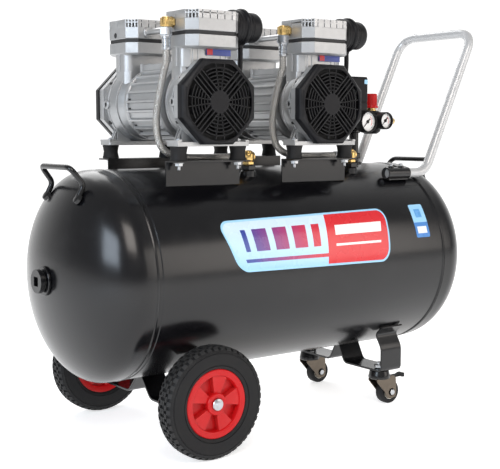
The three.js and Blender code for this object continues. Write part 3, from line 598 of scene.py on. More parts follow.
def tank():
    end = SEAM
    outside = [(TANK_R, 0), (TANK_R, end - 13), (TANK_R - 1.3, end - 11.5), (TANK_R - 1.3, end - 5.5),
        (TANK_R + 0.4, end - 4), (TANK_R + 0.9, end - 2), (TANK_R - 0.2, end), (TANK_R - 3, end)]
    profile = [(r, -h) for r, h in reversed(outside)] + outside[1:]
    piece("tank_shell", turned(profile, "x", (0, 0, TANK_Z), 128), BLACK_COAT, replaces=["tank_barrel"])
    for side, hole in ((-1, 16), (1, 0)):
        outer = dish(TANK_R, 96, end + 0.3, hole)
        inner = dish(TANK_R - 3, 84, end + 0.3, hole, 12)
        tail = [(TANK_R, end + 0.3), (TANK_R - 3, end + 0.3)]
        ring = [(r, side * h) for r, h in outer + tail + inner[::-1]]
        name = "left" if side < 0 else "right"
        piece(f"tank_end_{name}", turned(ring + ring[:1] if hole else ring, "x", (0, 0, TANK_Z), 128),
            BLACK_COAT, replaces=[f"tank_head_{name}"])

    pole = end + 113
    disc = [(21 * math.cos(a), TANK_Z + 21 * math.sin(a)) for a in [k * math.pi / 32 for k in range(64)]]
    square = [(-8, TANK_Z - 8), (8, TANK_Z - 8), (8, TANK_Z + 8), (-8, TANK_Z + 8)]
    flange = plate(disc, -pole - 17, -pole - 9, "x", [square])
    neck = [(0, 9), (18, 9), (17.2, 8), (18, 7), (17.2, 6), (18, 5), (25, 5), (26, 4), (26, 0.3),
        (15.7, 0.3), (15.7, -12), (0, -12)]
    stem = turned([(r, -pole - h) for r, h in neck], "x", (0, 0, TANK_Z), 48)
    piece("plug_cap", joined(flange, stem), BLACK_COAT, bevel=0.8, replaces=["inspection_plug"])

    for name, side in (("left", 1), ("right", -1)):
        shift = 3.5
        near = [(-428.6 + shift, -60, 449.5), (-414.6 + shift, -60, 475.3), (-435.2, -56, 506)]
        route = near + [(x, -y, z) for x, y, z in reversed(near)]
        loop = swept([(side * p.x, side * p.y, p.z) for p in bent_route(route, 15)], 5, 24)
        feet = [turned([(0, -3.5), (9.5, -3), (8, 2.5), (5, 4), (0, 4)], "z", (0, 0, 0),
            24) for _ in range(2)]
        for foot, y in zip(feet, (-60, 60)):
            moved(foot, at(side * (-424.6), side * y, 452.5) @ Matrix.Rotation(side * math.radians(-58), 4,
                "Y"))
        piece(f"lift_rod_{name}", joined(loop, *feet), BLACK_COAT, replaces=[f"lift_handle_{name}"])


tank()


# ---- Bent straps, wheels and casters ----

def strap(line, thickness, x0, x1, bend=9):
    """A strap of even thickness bent along (y, z) points."""
    centre = [Vector(p) for p in rounded(line, bend, 5)]
    left = []
    right = []
    for i, point in enumerate(centre):
        along = (centre[min(i + 1, len(centre) - 1)] - centre[max(i - 1, 0)]).normalized()
        across = Vector((-along.y, along.x)) * (thickness / 2)
        left.append(tuple(point + across))
        right.append(tuple(point - across))
    return plate(left + right[::-1], x0, x1, "x")


def mirrored(half):
    return [(-y, z) for y, z in reversed(half)] + half


WHEEL_X = (middle("wheel_rim_front").x - TANK_X) / MM
WHEEL_Y = middle("wheel_rim_rear").y / MM
WHEEL_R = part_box("wheel_tyre_front")[1].z / MM / 2


def straps():
    reach = TANK_R + 6
    contact = TANK_Z - TANK_R - 2.6
    top = (141, TANK_Z - math.sqrt(reach ** 2 - 141 ** 2))
    half = [(6, contact), (40, 75), (168, 75), (168, 132), top]
    wheel_strap = strap(mirrored(half), 4, WHEEL_X - 25, WHEEL_X + 25)
    axles = []
    for side in (-1, 1):
        axle = [(0, 168), (14, 168), (14, 179.4), (8, 179.4), (8, 222.6), (0, 222.6)]
        axles.append(turned([(r, side * h) for r, h in axle], "y", (WHEEL_X, 0, WHEEL_R), 32))
    piece("wheel_strap", joined(wheel_strap, *axles), BLACK_COAT, bevel=0.7, replaces=["wheel_bracket"])
    for side, name in ((-1, "front"), (1, "rear")):
        cap = [(0, 222.6), (10.2, 222.6), (10.6, 223.6), (9.8, 224.8), (7.4, 225.5), (5, 225.9),
            (4.6, 226.6), (0, 226.8)]
        piece(f"axle_cap_{name}", turned([(r, side * h) for r, h in cap], "y", (WHEEL_X, 0, WHEEL_R), 40),
            ZINC)

    outer = TANK_R + 4
    drop = [TANK_Z - math.sqrt(outer ** 2 - y ** 2) - 1 for y in (119, 139)]
    half = [(4, contact), (24, 75), (136, 75), (136, 124), (119, drop[0]), (139, drop[1])]
    piece("caster_strap", strap(mirrored(half), 4, 222, 278), BLACK_COAT, bevel=0.7,
        replaces=["caster_bracket"])


def sector(r0, r1, start, end, centre, steps=10):
    """Outline of a slice of a ring between two angles in degrees, anticlockwise from +x."""
    turns = [math.radians(start + (end - start) * k / steps) for k in range(steps + 1)]
    near = [(centre[0] + r0 * math.cos(t), centre[1] + r0 * math.sin(t)) for t in turns]
    far = [(centre[0] + r1 * math.cos(t), centre[1] + r1 * math.sin(t)) for t in turns]
    return near + far[::-1]


def big_wheel(side, name):
    body = f"wheel_{name}"
    place = (WHEEL_X, side * WHEEL_Y, WHEEL_R)
    half = [(61.3, 18), (64, 20), (66.2, 20.7), (66.8, 19.5), (67.8, 19.5), (68.4, 20.8), (75, 21), (82, 21),
        (87.4, 20.6), (88, 19.5), (89.2, 19.5), (89.8, 20.2), (92.5, 18.8), (94.6, 16.8), (96, 13.5),
        (96.6, 6)]
    tyre = turned([(r, -h) for r, h in half] + [(r, h) for r, h in reversed(half)] + [(61.3, -18)], "y",
        place, 96)
    blocks = []
    count = 44
    centre = at(*place)
    for k in range(count):
        turn = centre @ Matrix.Rotation(2 * math.pi * k / count, 4, "Y")
        lean = Matrix.Rotation(math.pi / count, 4, "Y")
        for row in (-1, 1):
            blocks.append(moved(box(-4.4, 4.4, row * 3.1 - 2.4, row * 3.1 + 2.4, 95.5, 99.8), turn))
            blocks.append(moved(box(-4.4, 4.4, row * 8.9 - 2.5, row * 8.9 + 2.5, 95.3, 99.4), turn @ lean))
            shoulder = plate([(12.4, 94.5), (12.4, 98.9), (15.2, 97.9), (18.4, 94.4), (17.4, 92.2)], -4.2,
                4.2, "x")
            blocks.append(moved(shoulder, turn @ Matrix.Diagonal((1, row, 1, 1))))
    piece(f"tyre_{name}", joined(tyre, *blocks), RUBBER, body, replaces=[f"wheel_tyre_{name}"])

    ring = [(49, -13), (52, -15), (60.9, -17.6), (60.9, 17.4), (59.4, 19), (52, 19), (49.6, 18),
        (48.4, 15.6), (48, 1)]
    parts = [turned([(r, side * h) for r, h in ring + ring[:1]], "y", place, 96)]
    hub = [(8.3, -20.6), (17.5, -20.6), (19, -12), (19, 12), (19.5, 18.5), (18.2, 20.6), (12, 20.6),
        (11.4, 20), (8.3, 20), (8.3, -20.6)]
    parts.append(turned([(r, side * h) for r, h in hub], "y", place, 64))
    parts.append(pipe(18, 50, -5, 1.5, "y", place, 64))
    low, high = (place[1] - 15.8, place[1] + 12) if side < 0 else (place[1] - 12, place[1] + 15.8)
    for k in range(5):
        aim = 80 + 72 * k
        parts.append(plate(sector(17.5, 50, aim - 18, aim + 18, (WHEEL_X, WHEEL_R)), low, high, "y"))
    piece(f"rim_{name}", joined(*parts), RED_PLASTIC, body, bevel=1.0, replaces=[f"wheel_rim_{name}"])


def caster(side, name):
    x = 240
    y = side * 113
    cup = [(0, 56), (21, 56), (22.6, 57.5), (23, 60), (21.8, 64), (20.6, 70.4), (19.6, 72.5), (6, 72.7),
        (6, 77.3), (11, 77.3), (11, 85), (6, 85), (6, 90), (0, 90)]
    piece(f"swivel_{name}", turned(cup[:8] + [(6, 77.3), (0, 77.3)], "z", (x, y, 0), 48), BLACK_COAT,
        f"caster_{name}", replaces=[f"caster_fork_{name}"])
    nut = joined(hexagon(19, "z", (x, y, 0), 77.4, 85),
        turned([(0, 84), (5.6, 84), (5.6, 89), (4.8, 90), (0, 90)], "z", (x, y, 0), 24))
    piece(f"swivel_nut_{name}", nut, ZINC, f"caster_{name}")
    legs = []
    for leg in (-1, 1):
        outline = rounded([(-16, 60), (-19, 52), (4, 27), (11, 13), (23, 11.6), (35, 13), (37, 27), (35, 56),
            (28, 60)], 7, 4)
        near = y + leg * 11.5
        far = near + leg * 2.5
        legs.append(plate([(x + u, v) for u, v in outline], min(near, far), max(near, far), "y"))
    legs.append(box(x - 18, x + 26, y - 12.5, y + 12.5, 55, 59))
    piece(f"fork_{name}", joined(*legs), BRONZE_ZINC, f"caster_{name}", bevel=0.8)
    bolt = joined(hexagon(11, "y", (x + 23, y, 25), -17.6, -14.2),
        hexagon(11, "y", (x + 23, y, 25), 14.2, 17.6), rod(8, -14, 14, "y", (x + 23, y, 25), 24))
    piece(f"axle_bolt_{name}", bolt, ZINC, f"caster_{name}")
    roll = f"caster_roll_{name}"
    tread = rounded([(16, -9), (23.5, -10), (25, -7), (25, 7), (23.5, 10), (16, 9)], 2, 4)
    piece(f"caster_tyre_{name}", turned(tread + tread[:1], "y", (x + 23, y, 25), 64), RUBBER, roll,
        replaces=[f"caster_wheel_{name}"])
    core = [(8.2, -9.6), (12, -9.6), (13, -8), (15.9, -8.6), (15.9, 8.6), (13, 8), (12, 9.6), (8.2, 9.6)]
    piece(f"caster_hub_{name}", turned(core + core[:1], "y", (x + 23, y, 25), 64), CREAM, roll)
    tongue = plate([(x + 27, 52.5), (x + 56, 53), (x + 60, 50.5), (x + 66, 50.5), (x + 66, 59),
        (x + 60, 58.5), (x + 52, 56), (x + 27, 56)], y - 8, y + 8, "y")
    pin = rod(2.5, -11.2, 11.2, "y", (x + 29, y, 54), 20)
    piece(f"pedal_{name}", joined(tongue, pin), BLACK_PLASTIC, f"brake_{name}", bevel=0.9,
        replaces=[f"brake_pedal_{name}"])


straps()
for side, name in ((-1, "front"), (1, "rear")):
    big_wheel(side, name)
    caster(side, name)


# ---- Tube handle ----

def tube_handle():
    low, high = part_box("handle_socket_rear")
    y = (low.y + high.y) / 2 / MM
    x0 = (low.x - TANK_X) / MM
    x1 = (high.x - TANK_X) / MM
    z = low.z / MM + 12.5
    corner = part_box("push_handle")[1]
    end = (corner.x - TANK_X) / MM - 10
    top = corner.z / MM - 10
    route = [(x0 + 8, -y, z), (370, -y, z), (end, -y, top), (end, y, top), (370, y, z), (x0 + 8, y, z)]
    tube = swept(bent_route(route, 44, 14), 9.9, 32)
    piece("handle_tube", tube, SILVER, "handle", replaces=["push_handle"])
    for name, side in (("front", -1), ("rear", 1)):
        sleeve = [(10.3, x0), (11.8, x0), (12.5, x0 + 0.7), (12.5, x1 - 0.7), (11.8, x1), (10.3, x1),
            (10.3, x0)]
        bosses = []
        for share in (0.25, 0.7):
            spot = (x0 + share * (x1 - x0), side * y, z)
            bosses.append(turned([(0, 10.6), (6.5, 10.6), (6, 15), (0, 15)], "z", spot, 32))
            screw = turned([(0, 15), (2.4, 15), (2.4, 16.5), (4.4, 16.5), (4.4, 18.6), (3.4, 19.8),
                (1.4, 20.2), (1.4, 18.8), (0, 18.8)], "z", spot, 32)
            tag = "a" if share < 0.5 else "b"
            piece(f"socket_screw_{name}_{tag}", screw, ZINC)
        saddle = box(x0 + 4, x1 - 4, side * y - 6, side * y + 6, z - 13.5, z - 10.4)
        piece(f"socket_{name}", joined(turned(sleeve, "x", (0, side * y, z), 48), saddle, *bosses),
            BLACK_COAT, replaces=[f"handle_socket_{name}"])


tube_handle()


# ---- Pump units ----

COVER_OUT = -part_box("fan_cover_front_left")[0].y / MM
COVER_W = (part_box("fan_cover_front_left")[1].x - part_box("fan_cover_front_left")[0].x) / MM
COVER_H = (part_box("fan_cover_front_left")[1].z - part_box("fan_cover_front_left")[0].z) / MM
RAIL_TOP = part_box("mount_rail_front_left")[1].z / MM
FOOT_Z = RAIL_TOP + 25.3
HEAD_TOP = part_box("cylinder_head_front_left")[1].z / MM
DECK_TOP = HEAD_TOP - 42
HEAD_W = (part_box("cylinder_head_front_left")[1].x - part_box("cylinder_head_front_left")[0].x) / MM
POT_Y = 102.7
HEAD_L = 95.5
HEAD_CUT = 17.4
PORT_Z = HEAD_TOP - 20


def half_turn(bm, place, rear):
    """Puts a piece drawn for the front of a unit at its place, turned round for the rear."""
    turn = Matrix.Rotation(math.pi if rear else 0, 4, "Z")
    return moved(bm, at(place, 0, 0) @ turn)


def chamfered_prism(outlines, axis):
    """Skins a row of matching outlines, each (points, height), into one closed body."""
    bm = bmesh.new()
    rings = []
    for points, height in outlines:
        rings.append([bm.verts.new((u, v, height)) for u, v in points])
    for low, high in zip(rings, rings[1:]):
        for i in range(len(low)):
            j = (i + 1) % len(low)
            bm.faces.new((low[i], low[j], high[j], high[i]))
    bm.faces.new(rings[0][::-1])
    bm.faces.new(rings[-1])
    moved(bm, PLATE_TURN[axis])
    bmesh.ops.recalc_face_normals(bm, faces=bm.faces)
    return bm


def grille():
    """The bars of a fan cover: arcs at the four sides, long straight bars across the corners."""
    z0, z1 = -COVER_OUT + 1.2, -COVER_OUT + 4.2
    parts = []
    centre = (0, 0, SHAFT_Z)
    hub = [(0, -COVER_OUT + 1.0), (19.5, -COVER_OUT + 1.0), (20.5, -COVER_OUT + 1.8), (20.5, z1 + 1),
        (0, z1 + 1)]
    parts.append(turned(hub, "y", centre, 64))
    stand = at(*centre)
    for quarter in range(4):
        for radius in (26.5, 33, 39.5, 46, 52.5, 59):
            half = 30 - 6 * (59 - radius) / 32
            outline = sector(radius - 0.95, radius + 0.95, 90 * quarter - half, 90 * quarter + half,
                (0, SHAFT_Z), 14)
            parts.append(plate(outline, z0, z1, "y"))
        diagonal = Matrix.Rotation(math.radians(45 + 90 * quarter), 4, "Y")
        for offset in (-11.4, -3.8, 3.8, 11.4):
            bar = box(offset - 1.05, offset + 1.05, -COVER_OUT + 0.9, z1 + 0.6, 15, 66)
            parts.append(moved(bar, stand @ diagonal))
        straight = Matrix.Rotation(math.radians(90 * quarter), 4, "Y")
        for offset in (-8, 8):
            lean = Matrix.Rotation(math.radians(offset), 4, "Y")
            parts.append(moved(box(-0.85, 0.85, z0, z1, 19, 66.5), stand @ straight @ lean))
    return joined(*parts)


def circle(radius, count, z=0.0):
    return [(radius * math.cos(2 * math.pi * k / count),
        z + radius * math.sin(2 * math.pi * k / count)) for k in range(count)]


GRILLE_R = COVER_W / 2 - 9.5


def fan_cover(tag, row, x, rear):
    outline = octagon(COVER_W, COVER_H, 46, 0, SHAFT_Z)
    near = octagon(COVER_W - 15, COVER_H - 15, 43, 0, SHAFT_Z)
    mid = octagon(COVER_W - 8, COVER_H - 8, 44.4, 0, SHAFT_Z)
    far = octagon(COVER_W - 2.4, COVER_H - 2.4, 45.5, 0, SHAFT_Z)
    face = plate(near, -COVER_OUT, -COVER_OUT + 3.5, "y", [circle(GRILLE_R, 64, SHAFT_Z)])
    bead = turned([(GRILLE_R - 0.2, -COVER_OUT + 1.6), (GRILLE_R + 0.4, -COVER_OUT + 0.1),
        (GRILLE_R + 1.8, -COVER_OUT + 0.1), (GRILLE_R + 2.4, -COVER_OUT + 3),
        (GRILLE_R - 0.2, -COVER_OUT + 3), (GRILLE_R - 0.2, -COVER_OUT + 1.6)], "y", (0, 0, SHAFT_Z), 96)
    wall = octagon(COVER_W - 6, COVER_H - 6, 44.8, 0, SHAFT_Z)
    wall_near = octagon(COVER_W - 17, COVER_H - 17, 43, 0, SHAFT_Z)
    back = -COVER_OUT + 18
    outer = [(near, -COVER_OUT), (mid, -COVER_OUT + 1.6), (far, -COVER_OUT + 5), (outline, -COVER_OUT + 9),
        (outline, back)]
    inside = [(wall, back), (wall, -COVER_OUT + 9), (wall_near, -COVER_OUT + 2.6)]
    bm = bmesh.new()
    rings = [[bm.verts.new((u, h, v)) for u, v in points] for points, h in outer + inside]
    for low, high in zip(rings, rings[1:] + rings[:1]):
        for i in range(8):
            j = (i + 1) % 8
            bm.faces.new((low[i], low[j], high[j], high[i]))
    bmesh.ops.recalc_face_normals(bm, faces=bm.faces)
    piece(f"cover_{row}_{tag}", half_turn(joined(bm, face, bead, grille()), x, rear), BLACK_PLASTIC,
        bevel=0.35, replaces=[f"fan_cover_{row}_{tag}"])


def crankcase(tag, row, x, rear):
    front = -COVER_OUT + 18.3
    parts = []
    rim = octagon(COVER_W - 4, COVER_H - 4, 44, 0, SHAFT_Z)
    parts.append(plate(rim, front + 0.4, front + 15, "y", [circle(60.5, 64, SHAFT_Z)]))
    bell = [(60, front + 8), (70, front + 8), (72, front + 16), (71.6, front + 34), (69.5, front + 46),
        (66, front + 56), (61, front + 66), (56, front + 76), (49, front + 79.6), (9.5, front + 79.6),
        (9.5, front + 74), (44, front + 72), (53, front + 60), (58, front + 48), (60, front + 34),
        (60, front + 8)]
    parts.append(turned(bell, "y", (0, 0, SHAFT_Z), 96))
    for step, r in ((front + 24, 73.2), (front + 50, 69.6)):
        parts.append(turned([(62, step), (r, step), (r, step + 3.5), (62, step + 5)], "y", (0, 0, SHAFT_Z),
            96))
    neck = rounded([(-40, -125), (40, -125), (54, -116), (54, -84), (44, -74), (-44, -74), (-54, -84),
        (-54, -116), (-40, -125)], 5, 3)[:-1]
    lower = rounded([(-46, -119), (46, -119), (54, -114), (54, -84), (44, -74), (-44, -74), (-54, -84),
        (-54, -114), (-46, -119)], 3, 3)[:-1]
    parts.append(chamfered_prism([(lower, SHAFT_Z + 14), (lower, SHAFT_Z + 62)], "z"))
    parts.append(chamfered_prism([(neck, SHAFT_Z + 60.5), (neck, DECK_TOP - 17)], "z"))
    for rib in (-54.4, -35, -24, 24, 35, 54.4):
        y_near = -126.2 if abs(rib) < 50 else -104
        parts.append(box(rib - 1.4, rib + 1.4, y_near, y_near + 6, SHAFT_Z + 62, DECK_TOP - 20))
    deck = octagon(HEAD_W, HEAD_L, HEAD_CUT, 0, -POT_Y)
    under = octagon(HEAD_W - 7, HEAD_L - 7, HEAD_CUT - 1, 0, -POT_Y)
    parts.append(chamfered_prism([(under, DECK_TOP - 24), (deck, DECK_TOP - 20.5), (deck, DECK_TOP - 0.4)],
        "z"))
    foot = rounded([(-77, front + 1), (77, front + 1), (77, -102), (60, -99), (-60, -99), (-77, -102),
        (-77, front + 1)], 4, 3)
    parts.append(plate(foot[:-1], FOOT_Z, FOOT_Z + 8, "z"))
    for side in (-1, 1):
        for y0, y1 in ((front + 22, front + 25), (-112, -109)):
            outline = [(side * 26, FOOT_Z + 6), (side * 68, FOOT_Z + 6), (side * 60, FOOT_Z + 24),
                (side * 47, FOOT_Z + 46), (side * 30, FOOT_Z + 40)]
            hole = [(side * 55, FOOT_Z + 11), (side * 62, FOOT_Z + 11), (side * 55, FOOT_Z + 26)]
            parts.append(plate(outline, y0, y1, "y", [hole]))
        parts.append(box(side * 73 - 4, side * 73 + 4, front + 2, -100, FOOT_Z + 7, FOOT_Z + 11))
        boss = turned([(0, -3), (8.5, -3), (9.5, 0), (9.5, 5), (7.5, 6.4), (4.2, 6.4), (4.2, -1), (0, -1)],
            "x", (0, 0, 0), 32)
        parts.append(moved(boss, Matrix.Rotation(0 if side > 0 else math.pi, 4, "Z") @ at(69.4, 118,
            SHAFT_Z) if side < 0 else at(69.4, -118, SHAFT_Z)))
    piece(f"case_{row}_{tag}", half_turn(joined(*parts), x, rear), CAST, bevel=0.7,
        replaces=[f"crankcase_{row}_{tag}"])

    # The flat ring at the front of the shroud lies over the cast rim seen through the grille: dark rubber as
    # painted shade inside the fan cover.
    shroud_and_shade_ring = [(59.6, front + 20.8), (9.5, front + 20.8), (9.5, front + 19.9), (58.4, front + 19.9),
        (58.4, front - 0.8), (COVER_W / 2 - 3.6, front - 0.8), (COVER_W / 2 - 3.6, front - 0.2),
        (59.6, front - 0.2), (59.6, front + 20.8)]
    piece(f"shroud_{row}_{tag}", half_turn(turned(shroud_and_shade_ring, "y", (0, 0, SHAFT_Z), 64), x, rear), RUBBER)
    # Dark plugs in the side bosses' bores and dark discs on the bell stand in for holes: painted shade inside
    # them.
    dark = []
    for side in (-1, 1):
        dark.append(rod(4.3, side * 74, side * 68, "x", (0, -118, SHAFT_Z), 24))
        for y, z, r in ((front + 22, SHAFT_Z - 33, 5.2), (front + 18, SHAFT_Z + 40, 3.0)):
            depth = math.sqrt(max(0, 72.6 ** 2 - (z - SHAFT_Z) ** 2))
            dark.append(rod(r, side * (depth + 0.4), side * (depth - 6), "x", (0, y, z), 24))
    piece(f"case_hole_shade_{row}_{tag}", half_turn(joined(*dark), x, rear), SOFT_BLACK)

    feet = []
    bolts = []
    for side in (-1, 1):
        spot = (side * 63.5, -121.5, RAIL_TOP + 0.3)
        mount = [(0, 0), (15.5, 0), (15.8, 2), (15, 4), (13.6, 12.5), (15, 21), (15.8, 23), (15.5, 25),
            (0, 25)]
        feet.append(turned(mount, "z", spot, 48))
        bolts.append(nut_and_bolt((side * 63.5, -121.5, RAIL_TOP - 3.6), "z", 13, 6, 3, 13, -1))
        bolts.append(nut_and_bolt((side * 63.5, -121.5, FOOT_Z + 8.6), "z", 11, 4, 2.8, 6, 1))
    piece(f"rubber_feet_{row}_{tag}", half_turn(joined(*feet), x, rear), RUBBER)
    piece(f"foot_bolts_{row}_{tag}", half_turn(joined(*bolts), x, rear), ZINC)

    edge = -140
    rail = [(-102, TANK_Z + math.sqrt(TANK_R ** 2 - 102 ** 2) + 0.3), (-102, RAIL_TOP), (edge, RAIL_TOP),
        (edge, RAIL_TOP - 3), (-105, RAIL_TOP - 3), (-105, TANK_Z + math.sqrt(TANK_R ** 2 - 102 ** 2) + 0.3)]
    piece(f"rail_{row}_{tag}", half_turn(plate(rail, -80, 80, "x"), x, rear), BLACK_COAT, bevel=0.8,
        replaces=[f"mount_rail_{row}_{tag}"])


def cylinder_head(tag, row, x, rear):
    """Octagonal head with a rim of upright slots, a gasket band under it and bolts on top."""
    low = DECK_TOP + 6.2
    band = octagon(HEAD_W - 3, HEAD_L - 3, HEAD_CUT, 0, -POT_Y)
    piece(f"head_gasket_{row}_{tag}", half_turn(plate(band, DECK_TOP + 0.2, DECK_TOP + 6.6, "z"), x, rear),
        SOFT_BLACK)
    full = octagon(HEAD_W, HEAD_L, HEAD_CUT, 0, -POT_Y)
    shoulder = octagon(HEAD_W - 1.6, HEAD_L - 1.6, HEAD_CUT, 0, -POT_Y)
    core = octagon(HEAD_W - 24, HEAD_L - 24, HEAD_CUT - 4, 0, -POT_Y)
    slot_z = HEAD_TOP - 15
    parts = [chamfered_prism([(shoulder, low), (full, low + 1.2), (full, slot_z), (shoulder, slot_z + 0.6)],
        "z")]
    parts.append(chamfered_prism([(core, slot_z - 1), (core, HEAD_TOP - 0.6)], "z"))
    shape = [Vector(p) for p in full]
    middle_point = Vector((0, -POT_Y))
    for start, end in zip(shape, shape[1:] + shape[:1]):
        length = (end - start).length
        along = (end - start) / length
        inward = Vector((-along.y, along.x))
        if inward.dot(middle_point - start) < 0:
            inward = -inward
        slots, gap = (4, 3.7) if length < 40 else (5, 1.7) if abs(along.x) > 0.5 else (1, 0.9)
        pitch = length / slots
        for k in range(slots + 1):
            a = start + along * max(0.0, pitch * (k - 0.5) + gap / 2)
            b = start + along * min(length, pitch * (k + 0.5) - gap / 2)
            fin = [a, b, b + inward * 13, a + inward * 13]
            parts.append(plate([tuple(p) for p in fin], slot_z, HEAD_TOP - 0.05, "z"))
        rim = [start, end, end + inward * 3.4, start + inward * 3.4]
        parts.append(plate([tuple(p) for p in rim], slot_z + 8.2, slot_z + 10.4, "z"))
    # A dark sheet just outside the cast core, seen through the slots, is painted shade inside the slots; on
    # the rear head a dark disc in the side port is painted shade in its opening.
    painted_slot_shade = [plate(octagon(HEAD_W - 22, HEAD_L - 22, HEAD_CUT - 3.6, 0, -POT_Y), slot_z - 0.5,
        HEAD_TOP - 2.5, "z")]
    port = HEAD_W / 2 + 0.15
    if rear:
        painted_slot_shade.append(rod(5, port, port - 5, "x", (0, -110, HEAD_TOP - 28), 32))
    piece(f"head_slots_{row}_{tag}", half_turn(joined(*painted_slot_shade), x, rear), SOFT_BLACK)
    piece(f"head_{row}_{tag}", half_turn(joined(*parts), x, rear), CAST, bevel=0.35,
        replaces=[f"cylinder_head_{row}_{tag}"])
    bolts = []
    for u, v in ((-40, -28), (40, -28), (-40, 28), (40, 28)):
        spot = (u, v - POT_Y, HEAD_TOP - 0.6)
        bolts.append(turned([(0, -1), (5.4, -1), (5.4, 0.4), (4.8, 0.58), (2.4, 0.58), (2.4, -0.6),
            (0, -0.6)], "z", spot, 24))
    piece(f"head_bolts_{row}_{tag}", half_turn(joined(*bolts), x, rear), ZINC)


def motor(tag, x):
    parts = []
    ribs = 24
    outline = []
    for i in range(ribs):
        for share, r in ((0, 64.5), (0.62, 64.5), (0.72, 69.6), (0.9, 69.6)):
            turn = (i + share) / ribs * 2 * math.pi
            outline.append((r * math.cos(turn), SHAFT_Z + r * math.sin(turn)))
    parts.append(plate(outline, -52, 52, "y", [circle(38, 48, SHAFT_Z)]))
    for y0, y1 in ((-61, -50), (50, 61)):
        ring = [(38, y0), (66, y0), (68.5, y0 + 2), (68.5, y1 - 2), (66, y1), (38, y1), (38, y0)]
        parts.append(turned(ring, "y", (0, 0, SHAFT_Z), 96))
    parts.append(box(-30, 30, -56, 56, SHAFT_Z + 58, SHAFT_Z + 73))
    parts.append(box(-34, 34, -58, -50, SHAFT_Z + 56, SHAFT_Z + 75))
    parts.append(box(-34, 34, 50, 58, SHAFT_Z + 56, SHAFT_Z + 75))
    for u in (-22, 22):
        for v in (-40, 40):
            parts.append(turned([(0, 0), (5, 0), (5, 2), (4, 3), (0, 3)], "z", (u, v, SHAFT_Z + 72.5), 24))
    piece(f"motor_body_{tag}", moved(joined(*parts), at(x, 0, 0)), CAST, bevel=0.5,
        replaces=[f"motor_housing_{tag}"])
    # Dark blocks between some of the ribs stand in for vent openings: painted shade inside the vents.
    vent_shade = []
    for k in range(ribs):
        turn = Matrix.Rotation(2 * math.pi * (k + 0.31) / ribs, 4, "Y")
        if k % 3 != 1:
            vent_shade.append(moved(box(63.5, 65.2, 42, 49.5, -4.2, 4.2), at(x, 0, SHAFT_Z) @ turn))
    piece(f"motor_vent_shade_{tag}", joined(*vent_shade), SOFT_BLACK)

    shafts = [turned([(0, -151), (7.5, -151), (8, -150), (8, 150), (7.5, 151), (0, 151)], "y",
        (x, 0, SHAFT_Z), 40), pipe(8, 34.6, -40, 40, "y", (x, 0, SHAFT_Z), 64)]
    piece(f"shaft_{tag}", joined(*shafts), ZINC, f"rotor_{tag}", replaces=[f"motor_rotor_{tag}"])
    fans = []
    for side in (-1, 1):
        middle_y = side * (COVER_OUT - 30)
        hub = [(8, middle_y - 8), (16, middle_y - 8), (16, middle_y + 8), (8, middle_y + 8),
            (8, middle_y - 8)]
        fans.append(turned(hub, "y", (x, 0, SHAFT_Z), 40))
        for k in range(9):
            blade = box(14, 53.5, -1, 1, -8, 8)
            moved(blade, Matrix.Rotation(0.62 + math.pi / 2, 4, "X"))
            fans.append(moved(blade, at(x, middle_y, SHAFT_Z) @ Matrix.Rotation(2 * math.pi * k / 9, 4, "Y")))
    piece(f"fans_{tag}", joined(*fans), BLACK_PLASTIC, f"rotor_{tag}", bevel=0.3)


for tag, x in UNITS.items():
    for row, rear in (("front", False), ("rear", True)):
        fan_cover(tag, row, x, rear)
        crankcase(tag, row, x, rear)
        cylinder_head(tag, row, x, rear)
    motor(tag, x)


# ---- Intakes, hoses and valves ----

def intake(tag, x):
    face = x + HEAD_W / 2 + 0.3
    spot = (face, -POT_Y, HEAD_TOP - 21)
    profile = [(0, 0), (24, 0), (24, 2), (29.4, 2.6), (30.6, 4.5), (30.9, 8), (30.4, 9), (30.9, 10),
        (30.9, 15), (30.4, 16), (30.9, 17), (30.6, 21.5), (32.6, 22.6), (33.4, 24), (33.4, 28.4),
        (32.4, 29.8), (29, 30.6), (27.2, 32), (27.4, 39), (26.6, 40), (27.4, 41), (27.4, 52), (26.8, 55.5),
        (24.6, 59.5), (22, 61.6), (19, 62), (18, 61), (0, 61)]
    piece(f"filter_{tag}", turned(profile, "x", spot, 96), SOFT_BLACK, bevel=0.3,
        replaces=[f"intake_filter_{tag}"])
    lowest = spot[2] - 30
    pipe_x = face + 26
    route = [(0, 0, 4), (1, 0, -24), (0, 2, -60), (-2, 5, -95), (-6, 13, -125), (-12, 26, -146)]
    points = [(pipe_x + u, v - POT_Y, lowest + w) for u, v, w in route]
    pipe = swept(smooth_route(points, 40), 4.6, 20)
    collar = turned([(0, lowest - 6), (5.8, lowest - 6), (6.2, lowest - 5), (6.2, lowest + 4),
        (0, lowest + 4)], "z", (pipe_x, -POT_Y, 0), 32)
    piece(f"breather_{tag}", joined(pipe, collar), SOFT_BLACK)


HOSE_POINTS = [(0, 0, 0), (0, 0, -10), (0, 1, -22), (-3, 4, -38), (-6, 10, -66), (-9, 16, -96),
    (-10, 19, -124), (-8, 18, -150), (-2, 14, -170), (14, 9, -183), (44, 8, -188), (90, 14, -189),
    (130, 23, -189), (152, 26.6, -189), (168, 26.6, -189)]


